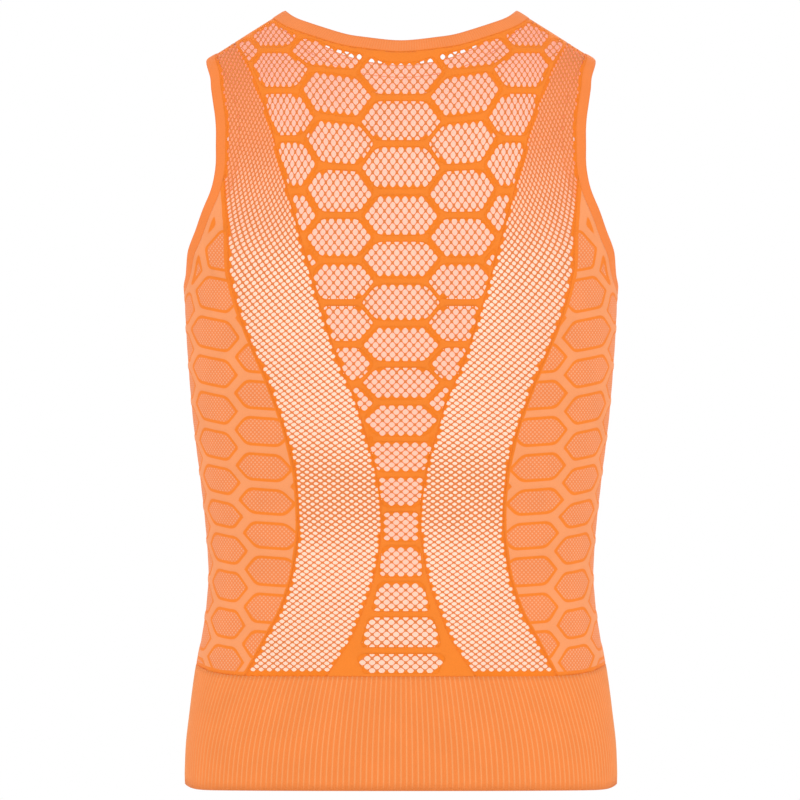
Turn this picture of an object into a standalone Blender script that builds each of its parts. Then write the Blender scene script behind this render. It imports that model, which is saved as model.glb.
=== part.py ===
"""A sleeveless base layer, filled out as it is when worn, hollow and with nobody in it.

The garment hangs from its shoulders. The origin is the middle of the neck opening, level with the two
points where the neck meets the shoulder line. +Z is up, the back faces -Y and +X is the wearer's right.

All the cloth lies on one surface: a stack of level superellipse rings, whose sizes are in RINGS. Seams
and edges are curves on that surface, and each panel is a grid between such curves, thickened by
Solidify. Sizes in the tables are millimetres, and heights are measured up from the hem.
"""

from collections import namedtuple

import bmesh
import bpy
import numpy as np

MM = 0.001
COLLECTION = "sleeveless_base_layer"

# Driving sizes, in millimetres
BODY_LENGTH = 650.0  # from the neck point to the hem
SHOULDER_TIP_HEIGHT = 609.0
ROUNDNESS = 2.25  # the power of the superellipse rings; 2 is an ellipse
SEAM_GAP = 0.4  # between the pieces' edges; the curved walls close it to about 0.3
PANEL_WALL = 1.2
BINDING_WALL = 2.0
HEM_WALL = 1.6
NECKBAND_WIDTH = 12.0
ARMHOLE_BAND_WIDTH = 10.0
SHOULDER_SEAM_HALF_WIDTH = 138.5  # where the centre back meets the mesh band on the shoulder line
HEM_BAND_AT_CENTRE = 95.0
HEM_BAND_RISE = 18.0  # how much taller the hem band would be at its full half width
HEM_RISE_POWER = 12  # so high that the line stays level until it nears the flanks
HEM_EDGE_RISE, HEM_EDGE_POWER = 5.0, 20  # the hem's own edge lifts at the corners only
BACK_WEDGE_HEIGHT = 510.0  # the side panel's point between the mesh band and the armhole, behind
FRONT_WEDGE_HEIGHT = 487.0  # the same in front

# How finely the grids are cut
ARMHOLE_STEPS = 40
NECK_BACK_STEPS = 14
NECK_FRONT_STEPS = 20
SHOULDER_STEPS_BACK = 3
SHOULDER_STEPS_FRONT = 4
LOWER_ROWS = 10
MESH_COLUMNS = 5
HEM_STEPS = 96
HEM_ROWS = 2
CURVE_DETAIL = 12  # points on each span of an edge curve before it is cut evenly

Ring = namedtuple("Ring", "height half_width half_depth forward")
RINGS = (
    Ring(0.0, 180.0, 113.0, -2.0),
    Ring(33.0, 179.0, 113.0, -1.5),
    Ring(66.0, 175.5, 111.5, 0.0),
    Ring(100.0, 171.0, 108.5, 2.0),
    Ring(133.0, 165.0, 104.0, 4.0),
    Ring(160.0, 161.5, 101.0, 5.5),
    Ring(180.0, 160.3, 100.0, 6.0),
    Ring(217.0, 162.5, 101.0, 6.0),
    Ring(250.0, 166.0, 103.5, 5.0),
    Ring(317.0, 174.0, 109.5, 2.5),
    Ring(384.0, 179.0, 115.5, 0.5),
    Ring(424.0, 181.0, 118.0, 0.0),
    Ring(451.0, 188.5, 119.0, 0.0),
    Ring(484.0, 194.0, 118.0, 0.0),
    Ring(534.0, 194.5, 108.0, 0.0),
    Ring(567.0, 187.0, 96.0, 0.0),
    Ring(584.0, 179.0, 88.0, 0.0),
    Ring(599.0, 169.5, 79.5, 0.0),
    Ring(609.0, 162.0, 73.0, 0.0),
    Ring(616.0, 150.9, 68.0, 0.0),
    Ring(650.0, 97.0, 43.0, 0.0),
)

# The seams of the zones, as half widths at each height
Seam = namedtuple("Seam", "height half_width")
CENTRE_SEAM = (
    Seam(98.0, 60.0),
    Seam(125.0, 42.2),
    Seam(142.0, 34.8),
    Seam(175.0, 23.0),
    Seam(200.0, 18.2),
    Seam(225.0, 16.0),
    Seam(259.0, 19.6),
    Seam(292.0, 28.0),
    Seam(325.0, 38.0),
    Seam(359.0, 52.6),
    Seam(409.0, 69.0),
    Seam(459.0, 83.0),
    Seam(513.0, 98.0),
    Seam(558.0, 109.6),
    Seam(601.0, 125.5),
)
SIDE_SEAM = (
    Seam(98.0, 128.5),
    Seam(123.0, 115.0),
    Seam(156.0, 98.0),
    Seam(188.0, 89.0),
    Seam(225.0, 85.2),
    Seam(257.0, 87.4),
    Seam(294.0, 95.0),
    Seam(337.0, 110.0),
    Seam(370.0, 123.6),
    Seam(404.0, 136.0),
    Seam(439.0, 144.0),
    Seam(466.0, 144.5),
)
FRONT_SEAM = (
    Seam(98.0, 132.0),
    Seam(180.0, 120.0),
    Seam(280.0, 124.0),
    Seam(380.0, 138.0),
    Seam(440.0, 146.0),
)

# The free edges of the bindings, from the shoulder line down the back, and up the front again
Edge = namedtuple("Edge", "height half_width")
ARMHOLE_BACK = (
    Edge(597.0, 159.6),
    Edge(584.0, 158.0),
    Edge(567.0, 155.5),
    Edge(551.0, 154.0),
    Edge(534.0, 154.0),
    Edge(518.0, 154.5),
    Edge(501.0, 158.0),
    Edge(484.0, 165.0),
    Edge(467.0, 171.0),
    Edge(451.0, 177.0),
)
ARMHOLE_FRONT = (
    Edge(454.0, 176.5),
    Edge(472.0, 167.0),
    Edge(491.0, 156.5),
    Edge(511.0, 148.5),
    Edge(532.0, 145.0),
    Edge(555.0, 144.5),
    Edge(577.0, 149.0),
    Edge(595.0, 156.0),
)
# Under the arm, where the edge turns over the flank: how far it is in front of the ring's centre
Under = namedtuple("Under", "height forward")
UNDERARM = (
    Under(437.5, -36.0),
    Under(427.0, -21.0),
    Under(422.0, 0.0),
    Under(427.5, 22.0),
    Under(439.0, 38.0),
)
NECK_BACK = (
    Edge(645.5, 90.0),
    Edge(639.5, 75.0),
    Edge(631.5, 50.0),
    Edge(628.0, 31.0),
    Edge(625.0, 0.0),
)
NECK_FRONT = (
    Edge(645.5, 92.5),
    Edge(639.5, 86.0),
    Edge(631.5, 77.5),
    Edge(622.5, 65.5),
    Edge(614.5, 48.5),
    Edge(608.5, 27.0),
    Edge(606.0, 0.0),
)

BACK, FRONT = -1, 1

Finish = namedtuple("Finish", "colour roughness")
FINISHES = {
    "open_mesh": Finish((0.93, 0.45, 0.18), 0.85),
    "honeycomb_mesh": Finish((0.94, 0.38, 0.12), 0.8),
    "ridged_knit": Finish((0.97, 0.36, 0.13), 0.8),
    "binding": Finish((0.98, 0.29, 0.07), 0.75),
    "rib": Finish((0.98, 0.3, 0.09), 0.8),
}


# --- the surface that all the cloth lies on ---------------------------------------------------------


def along(heights, values, height):
    """The value at a height on a smooth curve through the rows, straight on past its two ends."""
    heights, values = np.asarray(heights, float), np.asarray(values, float)
    height = np.asarray(height, float)
    steps = np.diff(heights)
    slopes = np.diff(values) / steps
    same_way = slopes[:-1] * slopes[1:] > 0
    total = np.where(same_way, slopes[:-1] + slopes[1:], 1.0)
    inner = np.where(same_way, 2 * slopes[:-1] * slopes[1:] / total, 0.0)
    tangents = np.concatenate([slopes[:1], inner, slopes[-1:]])
    inside = np.clip(height, heights[0], heights[-1])
    i = np.clip(np.searchsorted(heights, inside) - 1, 0, len(steps) - 1)
    u = (inside - heights[i]) / steps[i]
    curve = (
        (2 * u**3 - 3 * u**2 + 1) * values[i]
        + (u**3 - 2 * u**2 + u) * steps[i] * tangents[i]
        + (3 * u**2 - 2 * u**3) * values[i + 1]
        + (u**3 - u**2) * steps[i] * tangents[i + 1]
    )
    beyond = np.where(height > heights[-1], tangents[-1], tangents[0])
    return curve + beyond * (height - inside)


def ring_at(height):
    """(half width, half depth, how far forward its centre is) of the ring at a height."""
    heights = [ring.height for ring in RINGS]
    return (
        along(heights, [ring.half_width for ring in RINGS], height),
        along(heights, [ring.half_depth for ring in RINGS], height),
        along(heights, [ring.forward for ring in RINGS], height),
    )


def on_face(face, half_width, height):
    """The point of the back or the front that is so far from the middle, at a height."""
    wide, deep, forward = ring_at(height)
    share = np.clip(np.abs(half_width) / wide, 0, 1)
    depth = deep * (1 - share**ROUNDNESS) ** (1 / ROUNDNESS)
    return np.stack(np.broadcast_arrays(half_width, forward + face * depth, height), axis=-1)


def on_flank(forward, height):
    """The point of the right flank that is so far in front of the ring's centre, at a height."""
    wide, deep, centre = ring_at(height)
    half_width = wide * (1 - np.abs(forward / deep) ** ROUNDNESS) ** (1 / ROUNDNESS)
    return np.stack(np.broadcast_arrays(half_width, centre + forward, height), axis=-1)


def on_side(height):
    """The point where back and front meet: the shoulder line above, the flank below."""
    wide, _, forward = ring_at(height)
    return np.stack(np.broadcast_arrays(wide, forward, height), axis=-1)


def on_ring(turn, height):
    """The point at an angle round the ring: 0 is the centre back, pi / 2 the right flank."""
    wide, deep, forward = ring_at(height)
    s, c = np.sin(turn), np.cos(turn)
    x = wide * np.sign(s) * np.abs(s) ** (2 / ROUNDNESS)
    y = forward - deep * np.sign(c) * np.abs(c) ** (2 / ROUNDNESS)
    return np.stack(np.broadcast_arrays(x, y, height), axis=-1)


def turn_of(point):
    """The angle round its ring of a point on the right half of the surface."""
    wide, deep, forward = ring_at(point[..., 2])
    across = np.abs(point[..., 0] / wide) ** (ROUNDNESS / 2)
    back = (forward - point[..., 1]) / deep
    return np.arctan2(across, np.sign(back) * np.abs(back) ** (ROUNDNESS / 2))


def outside(points):
    """How far outside the surface points are: 0 on it, and growing outward."""
    wide, deep, forward = ring_at(points[..., 2])
    across = np.abs(points[..., 0] / wide) ** ROUNDNESS
    through = np.abs((points[..., 1] - forward) / deep) ** ROUNDNESS
    return across + through - 1


def slope_at(points, step=0.01):
    """The gradient of outside() at points, which points straight out of the cloth."""
    parts = []
    for axis in np.eye(3):
        parts.append(outside(points + step * axis) - outside(points - step * axis))
    return np.stack(parts, axis=-1) / (2 * step)


def settle(points, rounds=12):
    """The points moved straight in or out until they lie on the surface."""
    for _ in range(rounds):
        slope = slope_at(points)
        points = points - slope * (outside(points) / (slope**2).sum(-1))[..., None]
    return points


def shoulder_height(half_width):
    """The height of the shoulder line so far from the middle."""
    high, low = RINGS[-1], RINGS[-2]
    rise = (high.height - low.height) / (high.half_width - low.half_width)
    return high.height + (half_width - high.half_width) * rise


def hem_line(half_width):
    """The height of the seam between the hem band and the body."""
    return HEM_BAND_AT_CENTRE + HEM_BAND_RISE * (half_width / RINGS[0].half_width) ** HEM_RISE_POWER


# --- curves on the surface ---------------------------------------------------------------------------


def rounded(points, closed):
    """A dense, smooth line through control points."""
    if closed:
        before, after = points[-1:], points[:2]
    else:
        before, after = 2 * points[:1] - points[1:2], 2 * points[-1:] - points[-2:-1]
    p = np.concatenate([before, points, after])
    u = np.linspace(0, 1, CURVE_DETAIL, endpoint=False)[:, None]
    line = []
    for a, b, c, d in zip(p[:-3], p[1:-2], p[2:-1], p[3:]):
        line.append(
            b + (c - a) * u / 2 + (2 * a - 5 * b + 4 * c - d) * u**2 / 2 + (3 * b - a - 3 * c + d) * u**3 / 2
        )
    end = points[:1] if closed else points[-1:]
    return np.concatenate(line + [end])


def cut_evenly(line, steps):
    """The line again as so many steps of one length."""
    length = np.concatenate([[0], np.cumsum(np.linalg.norm(np.diff(line, axis=0), axis=1))])
    at = np.linspace(0, length[-1], steps + 1)
    return np.stack([np.interp(at, length, line[:, axis]) for axis in range(3)], axis=-1)


def set_in(loop, width, rounds=4):
    """A closed loop moved across the cloth, away from its opening, by a width."""
    inner = loop.copy()
    middle = loop.mean(axis=0)
    for _ in range(rounds):
        run = np.roll(inner, -1, axis=0) - np.roll(inner, 1, axis=0)
        across = np.cross(slope_at(inner), run)
        across /= np.linalg.norm(across, axis=1)[:, None]
        away = np.sign(((inner - middle) * across).sum(axis=1))[:, None]
        inner = settle(inner + away * across * width / rounds)
    return inner


def armhole_loops():
    """The right armhole's free edge and the line where its band meets the panels.

    Both start on the shoulder line and run down the back, under the arm and up the front.
    """
    back = [on_face(BACK, row.half_width, row.height) for row in ARMHOLE_BACK]
    under = [on_flank(row.forward, row.height) for row in UNDERARM]
    front = [on_face(FRONT, row.half_width, row.height) for row in ARMHOLE_FRONT]
    control = [on_side(SHOULDER_TIP_HEIGHT), *back, *under, *front]
    free = settle(cut_evenly(rounded(np.array(control), closed=True), ARMHOLE_STEPS)[:-1])
    inner = set_in(free, ARMHOLE_BAND_WIDTH)
    inner[0] = on_side(inner[0, 2])
    return free, inner


def neck_loops():
    """The neck's free edge and the line where its band meets the panels.

    Both start on the left shoulder and run round the back, then the front.
    """
    half_back = [on_face(BACK, row.half_width, row.height) for row in NECK_BACK]
    half_front = [on_face(FRONT, row.half_width, row.height) for row in NECK_FRONT]
    mirror = np.array([-1.0, 1.0, 1.0])
    point = on_side(BODY_LENGTH)
    back = [point * mirror, *(p * mirror for p in half_back), *half_back[-2::-1], point]
    front = [point, *half_front, *(p * mirror for p in half_front[-2::-1]), point * mirror]
    back = cut_evenly(rounded(np.array(back), closed=False), NECK_BACK_STEPS)
    front = cut_evenly(rounded(np.array(front), closed=False), NECK_FRONT_STEPS)
    free = settle(np.concatenate([back[:-1], front[:-1]]))
    inner = set_in(free, NECKBAND_WIDTH)
    for shoulder, side in ((0, mirror), (NECK_BACK_STEPS, 1.0)):
        inner[shoulder] = on_side(inner[shoulder, 2]) * side
    return free, inner


# --- panels ------------------------------------------------------------------------------------------


def half_width_function(seam, top):
    """A seam's half width as a function of height, ending at a point on the surface."""
    heights = [row.height for row in seam] + [top[2]]
    widths = [row.half_width for row in seam] + [top[0]]
    return lambda height: along(heights, widths, height)


def foot_of(half_width_at):
    """The height where a seam reaches the hem line."""
    height = HEM_BAND_AT_CENTRE
    for _ in range(8):
        height = hem_line(half_width_at(height))
    return float(height)


def seam_points(face, half_width_at, top, rows):
    """A seam's points from the hem line up to its top, evenly spaced in height."""
    heights = np.linspace(foot_of(half_width_at), top[2], rows + 1)
    points = on_face(face, half_width_at(heights), heights)
    points[-1] = top
    return points


def fan(face, tops, half_width_at, shares):
    """A grid of columns that each keep their share of the half width, from the hem line up to tops."""
    columns = []
    for top in tops:
        share = top[0] / half_width_at(top[2])
        foot = foot_of(lambda height, share=share: share * half_width_at(height))
        heights = foot + shares * (top[2] - foot)
        column = on_face(face, share * half_width_at(heights), heights)
        column[-1] = top
        columns.append(column)
    return np.stack(columns, axis=1)


def between(left, right, columns, face):
    """A grid whose rows run level-wise from one column of points to another."""
    share = np.linspace(0, 1, columns + 1)[None, :]
    wide = left[:, None, 0] * (1 - share) + right[:, None, 0] * share
    high = left[:, None, 2] * (1 - share) + right[:, None, 2] * share
    grid = on_face(face, wide, high)
    grid[:, 0], grid[:, -1] = left, right
    grid[-1] = on_side(high[-1])
    return grid


def side_grid(back_seam, front_seam, tops):
    """The side panel's grid: columns from the hem line up to the armhole, turning from back to front."""
    heights, back_turn = back_seam[:, 2], turn_of(back_seam)
    front_heights, front_turn = front_seam[:, 2], turn_of(front_seam)
    shares = (heights - heights[0]) / (heights[-1] - heights[0])
    columns = []
    for top in tops:
        start, end = np.interp(top[2], heights, back_turn), np.interp(top[2], front_heights, front_turn)
        share = np.clip((turn_of(top) - start) / (end - start), 0, 1)
        foot = heights[0] * (1 - share) + front_heights[0] * share
        for _ in range(8):
            foot_turn = np.interp(foot, heights, back_turn) * (1 - share)
            foot_turn = foot_turn + np.interp(foot, front_heights, front_turn) * share
            foot = hem_line(on_ring(foot_turn, foot)[0])
        rise = foot + shares * (top[2] - foot)
        turn = np.interp(rise, heights, back_turn) * (1 - share)
        turn = turn + np.interp(rise, front_heights, front_turn) * share
        column = on_ring(turn, rise)
        column[-1] = top
        columns.append(column)
    columns[0], columns[-1] = back_seam, front_seam
    return np.stack(columns, axis=1)


def pull_back(edge, neighbour, distance):
    """The points of a grid's edge moved square to the edge, towards the row inside it."""
    steps = np.diff(edge, axis=0)
    steps /= np.linalg.norm(steps, axis=1)[:, None]
    run = np.concatenate([steps[:1], (steps[:-1] + steps[1:]) / 2, steps[-1:]])
    mitre = np.linalg.norm(run, axis=1)[:, None]  # under 1 where the edge turns a corner
    run /= mitre
    inward = neighbour - edge
    inward = inward - run * (inward * run).sum(axis=1)[:, None]
    return edge + inward / np.linalg.norm(inward, axis=1)[:, None] * distance / mitre


def leave_gap(grid, closed):
    """The grid with half a seam gap taken off each of its edges."""
    grid = grid.copy()
    grid[0] = pull_back(grid[0], grid[1], SEAM_GAP / 2)
    grid[-1] = pull_back(grid[-1], grid[-2], SEAM_GAP / 2)
    if not closed:
        grid[:, 0] = pull_back(grid[:, 0], grid[:, 1], SEAM_GAP / 2)
        grid[:, -1] = pull_back(grid[:, -1], grid[:, -2], SEAM_GAP / 2)
    return grid


def make_material(name):
    finish = FINISHES[name]
    material = bpy.data.materials.new(name)
    material.use_nodes = True
    shader = material.node_tree.nodes["Principled BSDF"]
    shader.inputs["Base Color"].default_value = (*finish.colour, 1)
    shader.inputs["Roughness"].default_value = finish.roughness
    shader.inputs["Metallic"].default_value = 0
    return material


def make_cloth(name, grid, wall, material, collection, closed=False):
    """One piece of cloth: the grid as an open surface, thickened to its wall."""
    grid = leave_gap(grid, closed)
    rows, columns = grid.shape[:2]
    mesh = bpy.data.meshes.new(name)
    shape = bmesh.new()
    height_to_frame = np.array([0.0, 0.0, -BODY_LENGTH])
    verts = [[shape.verts.new((point + height_to_frame) * MM) for point in row] for row in grid]
    for r in range(rows - 1):
        for c in range(columns if closed else columns - 1):
            d = (c + 1) % columns
            shape.faces.new((verts[r][c], verts[r][d], verts[r + 1][d], verts[r + 1][c]))
    shape.normal_update()
    face = next(iter(shape.faces))
    centre = np.array(face.calc_center_median()) / MM - height_to_frame
    if np.dot(slope_at(centre), face.normal) < 0:
        bmesh.ops.reverse_faces(shape, faces=shape.faces[:])
    shape.to_mesh(mesh)
    shape.free()
    mesh.shade_smooth()
    mesh.materials.append(material)
    piece = bpy.data.objects.new(name, mesh)
    collection.objects.link(piece)
    solid = piece.modifiers.new("wall", "SOLIDIFY")
    solid.thickness = wall * MM
    solid.offset = 0
    return piece


def mirrored(grid):
    return grid * np.array([-1.0, 1.0, 1.0])


# --- the garment -------------------------------------------------------------------------------------


def back_panels(armhole, neck):
    """The grids of the centre back and of the right mesh band, and the seam between band and side."""
    wedge = int(np.argmin(np.abs(armhole[: ARMHOLE_STEPS // 2, 2] - BACK_WEDGE_HEIGHT)))
    shoulder = on_side(shoulder_height(SHOULDER_SEAM_HALF_WIDTH))
    centre_half_width = half_width_function(CENTRE_SEAM, shoulder)
    side_half_width = half_width_function(SIDE_SEAM, armhole[wedge])
    side_seam = seam_points(BACK, side_half_width, armhole[wedge], LOWER_ROWS)
    outer = np.concatenate([side_seam, armhole[:wedge][::-1]])
    shares = (outer[:, 2] - outer[0, 2]) / (outer[-1, 2] - outer[0, 2])

    neck_back = neck[: NECK_BACK_STEPS + 1]
    slope_heights = np.linspace(neck_back[-1, 2], shoulder[2], SHOULDER_STEPS_BACK + 1)[1:]
    slope = on_side(slope_heights)
    tops = np.concatenate([mirrored(slope)[::-1], neck_back, slope])
    centre = fan(BACK, tops, centre_half_width, shares)
    band = between(centre[:, -1], outer, MESH_COLUMNS, BACK)
    return centre, band, side_seam, wedge


def front_panels(armhole, neck):
    """The grid of the front, and the seam between front and side."""
    later = np.arange(ARMHOLE_STEPS // 2, ARMHOLE_STEPS)
    wedge = int(later[np.argmin(np.abs(armhole[later, 2] - FRONT_WEDGE_HEIGHT))])
    half_width = half_width_function(FRONT_SEAM, armhole[wedge])
    seam = seam_points(FRONT, half_width, armhole[wedge], LOWER_ROWS)
    outer = np.concatenate([seam, armhole[wedge + 1 :], armhole[:1]])
    shares = (outer[:, 2] - outer[0, 2]) / (outer[-1, 2] - outer[0, 2])

    neck_front = np.concatenate([neck[NECK_BACK_STEPS:], neck[:1]])[::-1]
    slope_heights = np.linspace(neck_front[-1, 2], armhole[0, 2], SHOULDER_STEPS_FRONT + 1)[1:]
    slope = on_side(slope_heights)
    tops = np.concatenate([mirrored(slope)[::-1], neck_front, slope])
    front = fan(FRONT, tops, lambda height: along(outer[:, 2], outer[:, 0], height), shares)
    front[:, 0], front[:, -1] = mirrored(outer), outer
    return front, seam, wedge


def hem_grid():
    """The hem band: rings from the hem up to the hem line. Both lines rise at the flanks."""
    turn = np.linspace(0, 2 * np.pi, HEM_STEPS, endpoint=False)
    top = np.full(HEM_STEPS, HEM_BAND_AT_CENTRE)
    for _ in range(8):
        top = hem_line(on_ring(turn, top)[:, 0])
    edge = HEM_EDGE_RISE * (on_ring(turn, 0.0)[:, 0] / RINGS[0].half_width) ** HEM_EDGE_POWER
    share = np.linspace(0, 1, HEM_ROWS + 1)[:, None]
    return on_ring(np.broadcast_to(turn, (HEM_ROWS + 1, HEM_STEPS)), edge + share * (top - edge))


def clear_scene():
    for piece in list(bpy.data.objects):
        bpy.data.objects.remove(piece, do_unlink=True)


def main():
    clear_scene()
    collection = bpy.data.collections.new(COLLECTION)
    bpy.context.scene.collection.children.link(collection)
    finish = {name: make_material(name) for name in FINISHES}

    armhole_edge, armhole = armhole_loops()
    neck_edge, neck = neck_loops()
    centre, mesh_band, side_seam, back_wedge = back_panels(armhole, neck)
    front, front_seam, front_wedge = front_panels(armhole, neck)
    side = side_grid(side_seam, front_seam, armhole[back_wedge : front_wedge + 1])
    armhole_band = settle(np.stack([armhole_edge, (armhole_edge + armhole) / 2, armhole]))
    neckband = settle(np.stack([neck_edge, (neck_edge + neck) / 2, neck]))

    make_cloth("back_centre", centre, PANEL_WALL, finish["honeycomb_mesh"], collection)
    make_cloth("front_panel", front, PANEL_WALL, finish["open_mesh"], collection)
    for label, place in (("left", mirrored), ("right", np.copy)):
        make_cloth(f"back_mesh_{label}", place(mesh_band), PANEL_WALL, finish["open_mesh"], collection)
        make_cloth(f"side_{label}", place(side), PANEL_WALL, finish["ridged_knit"], collection)
        band = place(armhole_band)
        make_cloth(f"armhole_band_{label}", band, BINDING_WALL, finish["binding"], collection, closed=True)
    make_cloth("neckband", neckband, BINDING_WALL, finish["rib"], collection, closed=True)
    make_cloth("hem_band", hem_grid(), HEM_WALL, finish["rib"], collection, closed=True)


main()
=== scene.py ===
# %% [markdown]
# # A sleeveless base layer in body-mapped mesh knit
#
# The garment is a seamless tube of orange knit for hot days, shown from the back and filled out as
# if somebody wore it. A knitting machine changes its stitch from zone to zone: a honeycomb of smooth
# ribs round open net down the spine, two bands of fine net beside it, and firm sides with raised
# ridges. The packed model gives the plain form. This script loads that form and dresses it.

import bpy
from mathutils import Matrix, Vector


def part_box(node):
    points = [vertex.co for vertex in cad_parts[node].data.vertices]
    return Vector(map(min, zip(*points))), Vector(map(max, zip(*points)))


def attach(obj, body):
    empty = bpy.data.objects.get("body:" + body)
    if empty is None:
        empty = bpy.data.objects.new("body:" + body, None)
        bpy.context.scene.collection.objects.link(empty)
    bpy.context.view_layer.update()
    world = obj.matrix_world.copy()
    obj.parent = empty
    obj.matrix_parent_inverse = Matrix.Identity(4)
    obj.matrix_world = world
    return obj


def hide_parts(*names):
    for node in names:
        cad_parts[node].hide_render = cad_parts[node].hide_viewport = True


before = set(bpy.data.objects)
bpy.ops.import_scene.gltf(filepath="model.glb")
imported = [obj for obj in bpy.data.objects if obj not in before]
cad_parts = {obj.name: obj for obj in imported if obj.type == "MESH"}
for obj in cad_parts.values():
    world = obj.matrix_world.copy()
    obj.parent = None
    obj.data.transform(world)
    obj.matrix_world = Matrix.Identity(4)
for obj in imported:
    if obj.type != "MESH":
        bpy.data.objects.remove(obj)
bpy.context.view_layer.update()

# %% [markdown]
# All the cloth lies on one smooth surface, so we describe that surface once and let every piece ask
# it for points. It is a stack of level rings. Each ring is a superellipse, a shape between an ellipse
# and a rectangle, which is close to the section of a chest. Sizes here are millimetres above the hem,
# because that is how a garment is measured; they become metres only when a mesh is made.

# %% The form: a stack of rings
import math

import bpy
import numpy as np

MM = 0.001
BODY_LENGTH = 650.0
ROUNDNESS = 2.25  # 2 would be an ellipse
BACK, FRONT = -1, 1

RINGS = np.array([  # height, half width, half depth, how far forward
    (0, 180, 113, -2), (33, 179, 113, -1.5), (66, 175.5, 111.5, 0), (100, 171, 108.5, 2),
    (133, 165, 104, 4), (160, 161.5, 101, 5.5), (180, 160.3, 100, 6), (217, 162.5, 101, 6),
    (250, 166, 103.5, 5), (317, 174, 109.5, 2.5), (384, 179, 115.5, 0.5), (424, 181, 118, 0),
    (451, 188.5, 119, 0), (484, 194, 118, 0), (534, 194.5, 108, 0), (567, 187, 96, 0),
    (584, 179, 88, 0), (599, 169.5, 79.5, 0), (609, 162, 73, 0), (616, 150.9, 68, 0), (650, 97, 43, 0),
])  # fmt: skip


def along(table, height, column=1):
    """A column's value at a height on a smooth curve through the rows, straight on past its two ends."""
    heights, values = table[:, 0].astype(float), table[:, column].astype(float)
    height = np.asarray(height, float)
    steps = np.diff(heights)
    slopes = np.diff(values) / steps
    same_way = slopes[:-1] * slopes[1:] > 0
    total = np.where(same_way, slopes[:-1] + slopes[1:], 1.0)
    inner = np.where(same_way, 2 * slopes[:-1] * slopes[1:] / total, 0.0)
    tangents = np.concatenate([slopes[:1], inner, slopes[-1:]])
    inside = np.clip(height, heights[0], heights[-1])
    i = np.clip(np.searchsorted(heights, inside) - 1, 0, len(steps) - 1)
    u = (inside - heights[i]) / steps[i]
    curve = (
        (2 * u**3 - 3 * u**2 + 1) * values[i]
        + (u**3 - 2 * u**2 + u) * steps[i] * tangents[i]
        + (3 * u**2 - 2 * u**3) * values[i + 1]
        + (u**3 - u**2) * steps[i] * tangents[i + 1]
    )
    beyond = np.where(height > heights[-1], tangents[-1], tangents[0])
    return curve + beyond * (height - inside)


def ring_at(height):
    """(half width, half depth, how far forward its centre is) of the ring at a height."""
    return tuple(along(RINGS, height, column) for column in (1, 2, 3))


def joined_up(*parts):
    """Coordinates of any matching shapes as points, or numbers as vectors."""
    return np.stack(np.broadcast_arrays(*parts), axis=-1)


def on_face(face, x, height):
    """The point of the back or the front that is so far from the middle, at a height."""
    wide, deep, forward = ring_at(height)
    share = np.clip(np.abs(x) / wide, 0, 1)
    depth = deep * (1 - share**ROUNDNESS) ** (1 / ROUNDNESS)
    return joined_up(x, forward + face * depth, height)


def on_ring(turn, height):
    """The point at an angle round the ring: 0 is the centre back, pi / 2 the right flank."""
    wide, deep, forward = ring_at(height)
    s, c = np.sin(turn), np.cos(turn)
    x = wide * np.sign(s) * np.abs(s) ** (2 / ROUNDNESS)
    y = forward - deep * np.sign(c) * np.abs(c) ** (2 / ROUNDNESS)
    return joined_up(x, y, height)


def run_length(line):
    """How far along a line each of its points is."""
    return np.concatenate([[0], np.cumsum(np.linalg.norm(np.diff(line, axis=0), axis=1))])


for name, height in (("hem", 0.0), ("waist", 180.0), ("chest", 424.0)):
    print(f"round the {name} {run_length(on_ring(np.linspace(0, 2 * math.pi, 361), height))[-1]:.0f} mm")

# %% [markdown]
# Cloth has a thickness, and a crease lifts it, so we must know which way is straight out. We use a
# number that is 0 on the form and grows outward. Its slope points straight out of the cloth, and
# steps down the slope bring any point back to the form.

# %% Straight out of the cloth


def outside(points):
    """How far outside the form points are: 0 on it, and growing outward."""
    wide, deep, forward = ring_at(points[..., 2])
    across = np.abs(points[..., 0] / wide) ** ROUNDNESS
    through = np.abs((points[..., 1] - forward) / deep) ** ROUNDNESS
    return across + through - 1


def slope_at(points, step=0.01):
    """The gradient of outside(), which points straight out of the cloth."""
    parts = [outside(points + step * axis) - outside(points - step * axis) for axis in np.eye(3)]
    return joined_up(*parts) / (2 * step)


def outward(points):
    slope = slope_at(points)
    return slope / np.linalg.norm(slope, axis=-1, keepdims=True)


def settle(points, rounds=12):
    """The points moved straight in or out until they lie on the form."""
    for _ in range(rounds):
        slope = slope_at(points)
        points = points - slope * (outside(points) / (slope**2).sum(-1))[..., None]
    return points


print("out of the centre back", outward(on_face(BACK, 0.0, 424.0)).round(2))

# %% [markdown]
# The zones meet along curved seams, and the neck and armholes are bound. A few rows for each are
# enough, because a smooth curve runs through them. Left and right are mirror images, so one half is
# all that has to be written down.

# %% Tables of the seams and openings
SEAM_GAP = 0.1  # each piece keeps this far from its seam
OVER_RIDGE = 0.004  # back and front are cut this much above the shoulder's ridge, so both end on it
NECKBAND_WIDTH, ARMHOLE_BAND_WIDTH = 12.0, 10.0
HEM_BAND_AT_CENTRE = 95.0
HEM_BAND_RISE, HEM_RISE_POWER = 18.0, 12  # level, and then up towards the flanks
HEM_EDGE_RISE, HEM_EDGE_POWER = 5.0, 34  # the hem's own edge lifts at its corners only
ARMHOLE_STEPS, NECK_BACK_STEPS, NECK_FRONT_STEPS = 160, 56, 80

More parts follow.
